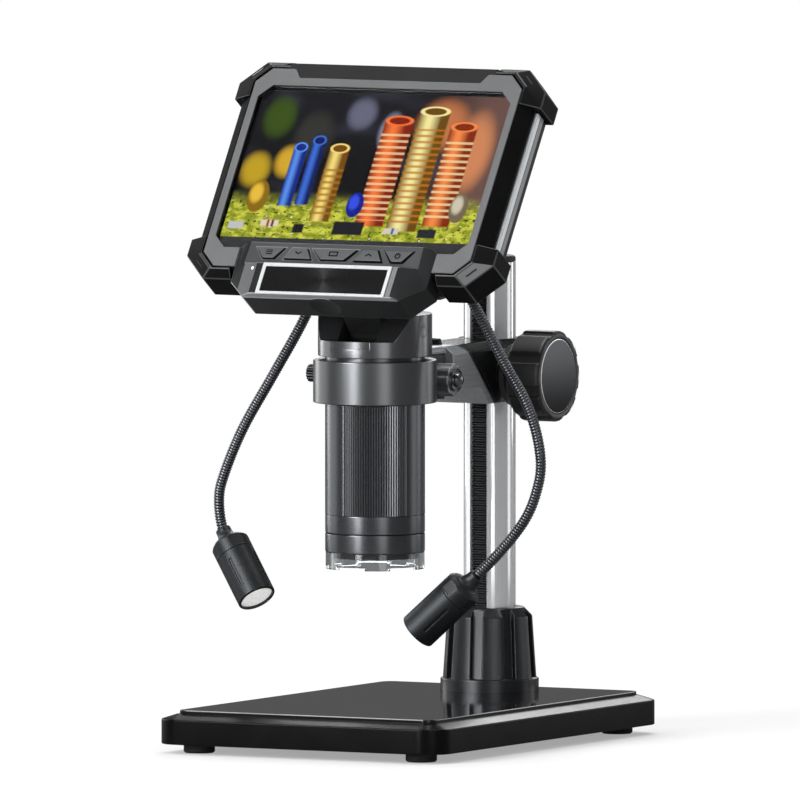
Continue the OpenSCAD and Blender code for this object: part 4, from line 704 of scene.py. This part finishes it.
on_head("display_picture", shape, "head", "lcd_panel", [picture])

# ---------------------------------------------------------------- rear shell and battery housing
# The rear shell and the battery housing are moulded in textured black, held by screws from
# behind. The housing carries the hinge lug and the nozzles of the goosenecks.
shell_texture = skin("shell_texture", "161718", "202123", 0.55, grain=1600.0, bump=0.7)
dress("rear_shell", "rear_shell_moulded", "head", [shell_texture], 0.4, 2)
dress("battery_housing", "battery_housing_moulded", "head", [shell_texture], 0.4, 2)
finish_node("head_screws", zinc)
finish_node("battery", skin("battery_wrap", "3c62a8", "4a70b4", 0.35))

# ---------------------------------------------------------------- rubber corners and side rails
# Four faceted corners are moulded over the casing in tough black rubber. Bright anodised rails
# run up both sides between them.
corner_rubber = skin("corner_rubber", "0a0a0b", "131314", 0.5, grain=2200.0, bump=0.25,
                     Specular_IOR_Level=0.08)
corner_edge_wear_and_highlight = skin("corner_edge_wear_and_highlight", "2c2d2e", "3c3d3e", 0.4, grain=2200.0, bump=0.1)
corner_painted_sheen = skin("corner_painted_sheen", "58595a", "636465", 0.45, grain=1400.0, bump=0.5)
slot_painted_shade = skin("slot_painted_shade", "040404", "080808", 0.6)
slot_painted_highlight = skin("slot_painted_highlight", "a8a9aa", "909192", 0.4)
GUARD_FROM = (54.0, -40.0)  # the lower right corner lies beyond these, across and up
# The eased edges are a lighter grey: partly rubbed wear, partly painted highlight
shape = eased("corner_bumpers", 0.4, 2, edge_slot=1)
# The lower right corner's outward facets take a lighter grey: a painted sheen
for face in shape.faces:
    u, v, w = middle_of(face)
    in_corner = u > GUARD_FROM[0] and v < GUARD_FROM[1]
    if face.material_index == 0 and in_corner and facing(face).z > 0.7:
        face.material_index = 2
set_in_place("corner_guards", shape, "head", "corner_bumpers",
             [corner_rubber, corner_edge_wear_and_highlight, corner_painted_sheen], whole=True)


def bar(shape, centre, size, turn=0.0, lean=(0.0, 0.0, 1.0)):
    """A thin bar on a face of the head, in the display's own frame; lean is the face's normal."""
    made = bmesh.ops.create_cube(shape, size=1.0)["verts"]
    bmesh.ops.scale(shape, verts=made, vec=Vector(size) * MM)
    bmesh.ops.rotate(shape, verts=made, matrix=Matrix.Rotation(math.radians(turn), 3, "Z"))
    tip = Vector((0.0, 0.0, 1.0)).rotation_difference(Vector(lean).normalized()).to_matrix()
    bmesh.ops.rotate(shape, verts=made, matrix=tip)
    bmesh.ops.translate(shape, verts=made, vec=Vector(centre) * MM)


# Each corner's moulded slot is drawn as a thin bar: the top left one is painted light as a painted
# highlight, the others near black as painted shade in the recess
SLOT_SIZE = (5.0, 0.6, 0.12)
SLOT_RISE = 0.92
for slot_name, (u, v), slot_painted_light in (
        ("top_left", (-58.8, 40.0), slot_painted_highlight), ("top_right", (58.8, 40.0), slot_painted_shade),
        ("low_left", (-58.8, -45.3), slot_painted_shade), ("low_right", (58.8, -45.3), slot_painted_shade)):
    across_way, up_way = math.copysign(1.0, u), math.copysign(1.0, v)
    shape = bmesh.new()
    bar(shape, (u, v, SLOT_RISE), SLOT_SIZE, -45.0 * across_way * up_way,
        (0.41 * across_way, 0.41 * up_way, 0.82))
    on_head("corner_slot_" + slot_name, shape, "head", "corner_bumpers", [slot_painted_light])
rail_metal = brushed("rail_metal", "d4d8d9", "b9bdbf", (3000.0, 60.0, 60.0), 0.35, Metallic=0.6)
rail_groove_and_painted_shade = skin("rail_groove_and_painted_shade", "141415", "1e1e20", 0.5)
rail_grey = brushed("rail_grey", "8e9092", "7a7c7e", (3000.0, 60.0, 60.0), 0.4, Metallic=0.4)
GROOVE_TOP, GROOVE_FLOOR = -5.9, -6.35
shape = eased("side_rails", 0.3, 2)
for depth in (GROOVE_TOP, GROOVE_FLOOR):
    cut(shape, head_place @ (Vector((0.0, 0.0, depth)) * MM),
        head_place.to_3x3() @ Vector((0.0, 0.0, 1.0)))
for face in shape.faces:
    depth = middle_of(face).z
    face.material_index = 0 if depth > GROOVE_TOP else 1 if depth > GROOVE_FLOOR else 2
    # The whole left rail takes the groove's dark tone: painted shade
    if face.calc_center_median().x < 0.0:
        face.material_index = 1
set_in_place("side_rails_anodised", shape, "head", "side_rails",
             [rail_metal, rail_groove_and_painted_shade, rail_grey], whole=True)

# ---------------------------------------------------------------- console, its frame and panel
# The console is moulded in dark satin grey, with a bright metal frame round a black panel whose
# face is turned in fine rings. The five keys are metallised caps with dark sides.
console_skin = skin("console_skin", "1e1f20", "292a2b", 0.34, grain=2400.0, bump=0.15, Metallic=0.3,
                    Specular_IOR_Level=0.35)
console_painted_lit_side = skin("console_painted_lit_side", "5c5d5f", "6a6b6d", 0.36, grain=2400.0, bump=0.1,
                     Metallic=0.2)
console_bank = skin("console_bank", "3a3b3c", "464748", 0.36, grain=2400.0, bump=0.15)
console_painted_edge_highlight = skin("console_painted_edge_highlight", "6c6d6f", "7a7b7d", 0.3, grain=2400.0, bump=0.1)
PLAIN, LIT_SIDE, BANK, LIT_EDGE = range(4)
SIDE_FROM = 4.8  # the faces painted lighter stand further out than this
BANK_FOOT = -47.0
APRON_TOP = -60.0
DULL_RIGHT = 6.0  # edges right of this get no painted highlight,
DULL_TOP = (-40.0, -36.8)  # and those right of and above these
# Faces that look left, and the lower apron's downward faces, take a lighter grey: painted light on
# the lit sides
shape = eased("console", 0.35, 2, edge_slot=LIT_EDGE)
for face in shape.faces:
    u, v, w = middle_of(face)
    way = facing(face)
    on_side = way.x < -0.2 or way.y < -0.6 and v < APRON_TOP
    if face.material_index == PLAIN and w > SIDE_FROM and on_side:
        face.material_index = LIT_SIDE
    elif face.material_index == PLAIN and way.z > 0.98 and v > BANK_FOOT:
        face.material_index = BANK
    # eased edges towards the upper left keep a light grey: a painted highlight
    elif face.material_index == LIT_EDGE:
        if u > DULL_RIGHT or u > DULL_TOP[0] and v > DULL_TOP[1]:
            face.material_index = PLAIN
set_in_place("console_moulded", shape, "head", "console",
             [console_skin, console_painted_lit_side, console_bank, console_painted_edge_highlight], whole=True)
bright_trim = skin("bright_trim", "dfe1e2", "cbcdce", 0.26, bump=0.0, Metallic=0.35)
grey_trim = skin("grey_trim", "77797b", "85878a", 0.35, Metallic=0.3)
PANEL_V, PANEL_W = -53.9, 6.4
shape = bmesh.new()
bar(shape, (29.2, -53.6, PANEL_W), (2.0, 13.0, 0.4))
on_head("console_side_trim", shape, "head", "console_frame", [grey_trim])
lamp_white = skin("status_lamp", "ffffff", "f0f0f0", 0.2, bump=0.0,
                  Emission_Color=(1.0, 1.0, 1.0, 1.0), Emission_Strength=0.5)
LAMP_SPOT = (-32.4, -49.1, 5.75)
LAMP_R = 0.62
shape = bmesh.new()
made = bmesh.ops.create_uvsphere(shape, u_segments=20, v_segments=10, radius=LAMP_R * MM)["verts"]
bmesh.ops.scale(shape, verts=made, vec=(1.0, 1.0, 0.6))
bmesh.ops.translate(shape, verts=made, vec=Vector(LAMP_SPOT) * MM)
on_head("status_lamp", shape, "head", "console", [lamp_white])
dress("console_frame", "console_trim", "head", [bright_trim], 0.15)
grain_centre = head_place @ (Vector((0.0, PANEL_V, PANEL_W)) * MM) / MM
turned_panel = turned("turned_panel", "101112", "050505", grain_centre, 9000.0, 0.28, bump=0.8,
                      Metallic=0.5)
dress("grain_panel", "grain_panel_turned", "head", [turned_panel])
key_metal = brushed("key_metal", "5c5e60", "4c4e50", (1500.0, 60.0, 60.0), 0.36, Metallic=0.3)
key_side = skin("key_side", "101112", "1a1b1c", 0.5)
mark_ink = skin("mark_ink", "040404", "080808", 0.6, bump=0.0, Specular_IOR_Level=0.1)
KEYS = {"menu": -27.7, "down": -15.2, "select": 0.0, "up": 15.2, "power": 27.7}
KEY_V = -41.4
KEY_TOP = 4.3 + 0.8
MARK = KEY_TOP + 0.02
STROKE, INK = 0.5, 0.06  # width and thickness of a printed stroke
for key, key_u in KEYS.items():
    node = key + "_button"
    shape = eased(node, 0.25, 2)
    for face in shape.faces:
        if facing(face).z < 0.5:
            face.material_index = 1
    set_in_place(node + "_cap", shape, key + "_key", node, [key_metal, key_side], whole=True)
    shape = bmesh.new()
    if key == "menu":
        for step in (-0.8, 0.0, 0.8):
            bar(shape, (key_u, KEY_V + step, MARK), (2.7, 0.42, INK))
    elif key in ("down", "up"):
        lean = -35.0 if key == "down" else 35.0
        for s in (-1, 1):
            bar(shape, (key_u + s * 0.62, KEY_V, MARK), (1.8, STROKE, INK), -s * lean)
    elif key == "select":
        for s in (-1, 1):
            bar(shape, (key_u, KEY_V + s * 0.8, MARK), (3.9, STROKE, INK))
            bar(shape, (key_u + s * 1.7, KEY_V, MARK), (STROKE, 1.6, INK))
    else:
        for k in range(1, 8):
            turn = 90.0 + k * 45.0
            ring_u, ring_v = math.cos(math.radians(turn)), math.sin(math.radians(turn))
            bar(shape, (key_u + ring_u, KEY_V + ring_v, MARK), (STROKE, 0.86, INK), turn)
        bar(shape, (key_u, KEY_V + 0.8, MARK), (STROKE, 1.2, INK))
    on_head(key + "_mark", shape, key + "_key", node, [mark_ink])

# ---------------------------------------------------------------- goosenecks
# Each gooseneck is a spring-steel strip wound over a wire core, blackened, and it stays where it
# is bent. Turned sockets hold its ends in the head's nozzles.
finish_node("neck_sockets", anodised)
# the points that a gooseneck runs through, which of them its bend is at, and the ways in which
# its lamp points and it enters the lamp
NECKS = {
    "left": (((-24.5, 12.5, 172.5), (-37.0, 12.5, 147.0), (-50.5, 12.5, 125.0),
              (-64.5, 13.5, 103.5), (-74.0, 15.5, 85.0), (-77.0, 17.0, 75.0),
              (-76.0, 18.0, 64.0)), 3,
             (0.59, -0.26, -0.765), (0.45, -0.2, -0.87)),
    "right": (((24.5, 12.5, 172.5), (37.0, 12.5, 152.5), (49.0, 12.5, 132.5),
               (60.0, 12.0, 115.0), (65.5, 11.0, 98.0), (65.0, 10.0, 85.0), (58.5, 8.5, 70.0),
               (41.5, 5.5, 51.0)), 4,
              (-0.735, -0.09, -0.672), (-0.735, -0.09, -0.672)),
}
NECK_R = 2.1
RIB_PITCH = 1.15
RIB_SHAPE = (0.86, 0.96, 1.0, 0.96)  # radius at each quarter of a pitch, from groove to crest
RUN_LAP = 2  # quarter pitches by which the two runs overlap at their bend
NECK_TUCK = (0.5, 0.75, 0.9, 1.0)  # the ends are drawn in where they enter socket and lamp
NECK_ENTRY = 0.4  # depth to which they enter
LAMP_STANDOFF = 0.45  # from a lamp's bend to its rear face
neck_steel = skin("neck_steel", "66686c", "7c7e82", 0.34, grain=1500.0, bump=0.02, Metallic=1.0)
STEPS_A_SPAN = 40


def smooth_line(points, start_way, end_way):
    """Closely spaced points on a smooth curve through the given ones."""
    way = [Vector(p) for p in points]
    first = way[1] - 2 * (way[1] - way[0]).length * Vector(start_way).normalized()
    last = way[-2] + 2 * (way[-1] - way[-2]).length * Vector(end_way).normalized()
    ends = [first, *way, last]
    line = []
    for a, b, c, d in zip(ends, ends[1:], ends[2:], ends[3:]):
        for step in range(STEPS_A_SPAN):
            t = step / STEPS_A_SPAN
            line.append(0.5 * (2 * b + (c - a) * t + (2 * a - 5 * b + 4 * c - d) * t * t
                               + (3 * b - a - 3 * c + d) * t ** 3))
    line.append(way[-1])
    return line


def even_steps(line, step):
    """Points at equal steps along a line."""
    travelled, total = [0.0], 0.0
    for a, b in zip(line, line[1:]):
        total += (b - a).length
        travelled.append(total)
    count = round(total / step)
    out, k = [], 0
    for i in range(count + 1):
        want = total * i / count
        while k < len(line) - 2 and travelled[k + 1] < want:
            k += 1
        part = (want - travelled[k]) / (travelled[k + 1] - travelled[k])
        out.append(line[k].lerp(line[k + 1], part))
    return out


for side, (route, bend, lamp_way, end_way) in NECKS.items():
    root_way = Vector(route[1]) - Vector(route[0])
    start = Vector(route[0]) - root_way.normalized() * NECK_ENTRY
    finish = Vector(route[-1]) + Vector(lamp_way).normalized() * (LAMP_STANDOFF + NECK_ENTRY)
    line = even_steps(smooth_line([start, *route[1:-1], finish], root_way, end_way), RIB_PITCH / 4)
    at_bend = min(range(len(line)), key=lambda k: (line[k] - Vector(route[bend])).length)
    for part, body, first, last in (("upper", "_neck_top", 0, at_bend + RUN_LAP),
                                    ("lower", "_neck_end", at_bend - RUN_LAP, len(line) - 1)):
        run = line[first : last + 1]
        data = bpy.data.curves.new(side + "_neck", "CURVE")
        data.dimensions = "3D"
        data.bevel_depth = NECK_R * MM
        data.bevel_resolution = 4
        data.use_fill_caps = True
        spline = data.splines.new("POLY")
        spline.points.add(len(run) - 1)
        for i, (point, spot) in enumerate(zip(spline.points, run), first):
            point.co = (*(spot * MM), 1.0)
            tuck = NECK_TUCK[min(i, len(line) - 1 - i, 3)]
            point.radius = tuck * RIB_SHAPE[i % 4]
        wound = put(side + "_neck_curve", data)
        bpy.context.view_layer.update()
        depsgraph = bpy.context.evaluated_depsgraph_get()
        mesh = bpy.data.meshes.new_from_object(wound.evaluated_get(depsgraph))
        bpy.data.objects.remove(wound)
        mesh.polygons.foreach_set("use_smooth", [True] * len(mesh.polygons))
        mesh.set_sharp_from_angle(angle=math.radians(60))
        mesh.materials.clear()
        mesh.materials.append(neck_steel)
        neck = put(side + "_gooseneck_" + part, mesh)
        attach(neck, side + body)
        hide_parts(side + "_neck_" + part)

# ---------------------------------------------------------------- lamps
# Each lamp is a turned and anodised shell with milled slots and a screwed rear cap, on a flared
# collar. A bright LED sits behind a clear lens in its front.
lamp_metal = skin("lamp_metal", "36383a", "454749", 0.42, grain=2600.0, bump=0.12, Metallic=0.85)
lamp_lens = skin("lamp_lens", "f4f5f2", "e9ebe8", 0.2, bump=0.0,
                 Emission_Color=(1.0, 1.0, 0.98, 1.0), Emission_Strength=0.35)
for side in NECKS:
    dress(side + "_lamp_shell", side + "_lamp_body", side + "_lamp", [lamp_metal], 0.2, 2)
    finish_node(side + "_lamp_optics", lamp_lens)

# ---------------------------------------------------------------- floor, light and world
# A plain pale floor and soft studio light. The camera sees the floor's far part and the world as
# plain white, and the floor keeps the object's shadow.
FLOOR_HALF = 40.0
FLOOR_DROP = 0.0001  # below the feet
shape = bmesh.new()
bmesh.ops.create_grid(shape, x_segments=1, y_segments=1, size=FLOOR_HALF)
bmesh.ops.translate(shape, verts=shape.verts, vec=(0.0, 0.0, cad_box[0][2] - FLOOR_DROP))
mesh = bpy.data.meshes.new("floor")
shape.to_mesh(mesh)
shape.free()
floor = put("floor", mesh)
floor_material = bpy.data.materials.new("floor_paper")
floor_material.use_nodes = True
tree = floor_material.node_tree
paper = tree.nodes["Principled BSDF"]
paper.inputs["Base Color"].default_value = (0.85, 0.85, 0.85, 1.0)
paper.inputs["Roughness"].default_value = 0.9


def shining(tree, kind, strength, colour=(1.0, 1.0, 1.0, 1.0)):
    """An emission or background node of one colour and strength."""
    node = tree.nodes.new(kind)
    node.inputs["Color"].default_value = colour
    node.inputs["Strength"].default_value = strength
    return node.outputs[0]


def either(tree, amount, a, b):
    """A shader that goes from a to b by an amount."""
    node = tree.nodes.new("ShaderNodeMixShader")
    for value, socket in zip((amount, a, b), node.inputs):
        feed(tree, value, socket)
    return node.outputs[0]


PALE_CENTRE = (0.12, 0.0, 0.0)  # the paper's shade fades out round this spot,
PALE_NEAR, PALE_FAR = 0.12, 0.55  # between these distances from it
seen = tree.nodes.new("ShaderNodeLightPath").outputs
place = tree.nodes.new("ShaderNodeTexCoord").outputs["Object"]
away = vectors(tree, "DISTANCE", place, PALE_CENTRE, "Value")
fade = soften(tree, away, PALE_NEAR, PALE_FAR, 0.35, 1.0)
share = maths(tree, "MULTIPLY", seen["Is Camera Ray"], fade)
look = either(tree, share, paper.outputs[0], shining(tree, "ShaderNodeEmission", 1.0))
share = maths(tree, "MULTIPLY", seen["Is Glossy Ray"], 0.9)
look = either(tree, share, look, shining(tree, "ShaderNodeEmission", 0.1))
feed(tree, look, tree.nodes["Material Output"].inputs["Surface"])
mesh.materials.append(floor_material)

world = bpy.data.worlds.new("studio")
bpy.context.scene.world = world
world.use_nodes = True
tree = world.node_tree
ROOM_GREY = (0.5, 0.5, 0.51, 1.0)
room = tree.nodes["Background"]
room.inputs["Color"].default_value = ROOM_GREY
room.inputs["Strength"].default_value = 0.7
seen = tree.nodes.new("ShaderNodeLightPath").outputs
dim = shining(tree, "ShaderNodeBackground", 0.26, ROOM_GREY)
look = either(tree, seen["Is Glossy Ray"], room.outputs[0], dim)
open_way = maths(tree, "MAXIMUM", seen["Is Camera Ray"], seen["Is Transmission Ray"])
look = either(tree, open_way, look, shining(tree, "ShaderNodeBackground", 1.0))
feed(tree, look, tree.nodes["World Output"].inputs["Surface"])


def softbox(name, spot, size, power, target=(0.0, 0.0, 0.12)):
    """A soft rectangular lamp at a spot, turned to a target; metres and watts."""
    data = bpy.data.lights.new(name, "AREA")
    data.shape = "RECTANGLE"
    data.size, data.size_y = size
    data.energy = power
    light = put(name, data)
    light.location = spot
    light.rotation_euler = (Vector(spot) - Vector(target)).to_track_quat("Z", "Y").to_euler()


COLUMN_SPOT = (0.0, 0.09, 0.2)
softbox("key_left", (-0.7, -1.6, 0.9), (0.6, 1.5), 30.0)
softbox("barrel_strip", (-0.2, -0.98, 0.2), (0.24, 0.44), 2.2)
softbox("rim_left", (-1.25, 0.43, 0.45), (0.3, 1.2), 4.2)
softbox("front_right", (0.9, -1.35, 0.5), (0.4, 1.1), 0.8)
softbox("rim_right", (0.8, 1.4, 0.3), (0.3, 0.62), 1.3)
softbox("top", (0.1, 0.2, 1.7), (1.2, 1.2), 14.0)
softbox("column_left", (-0.79, -0.02, 0.22), (0.5, 0.5), 0.8, COLUMN_SPOT)
softbox("column_front", (0.53, -0.5, 0.22), (0.22, 0.5), 0.6, COLUMN_SPOT)
softbox("column_right", (0.66, 0.54, 0.22), (0.25, 0.5), 0.4, COLUMN_SPOT)
softbox("back_rim", (-0.6, 1.5, 0.9), (0.8, 0.8), 8.0)
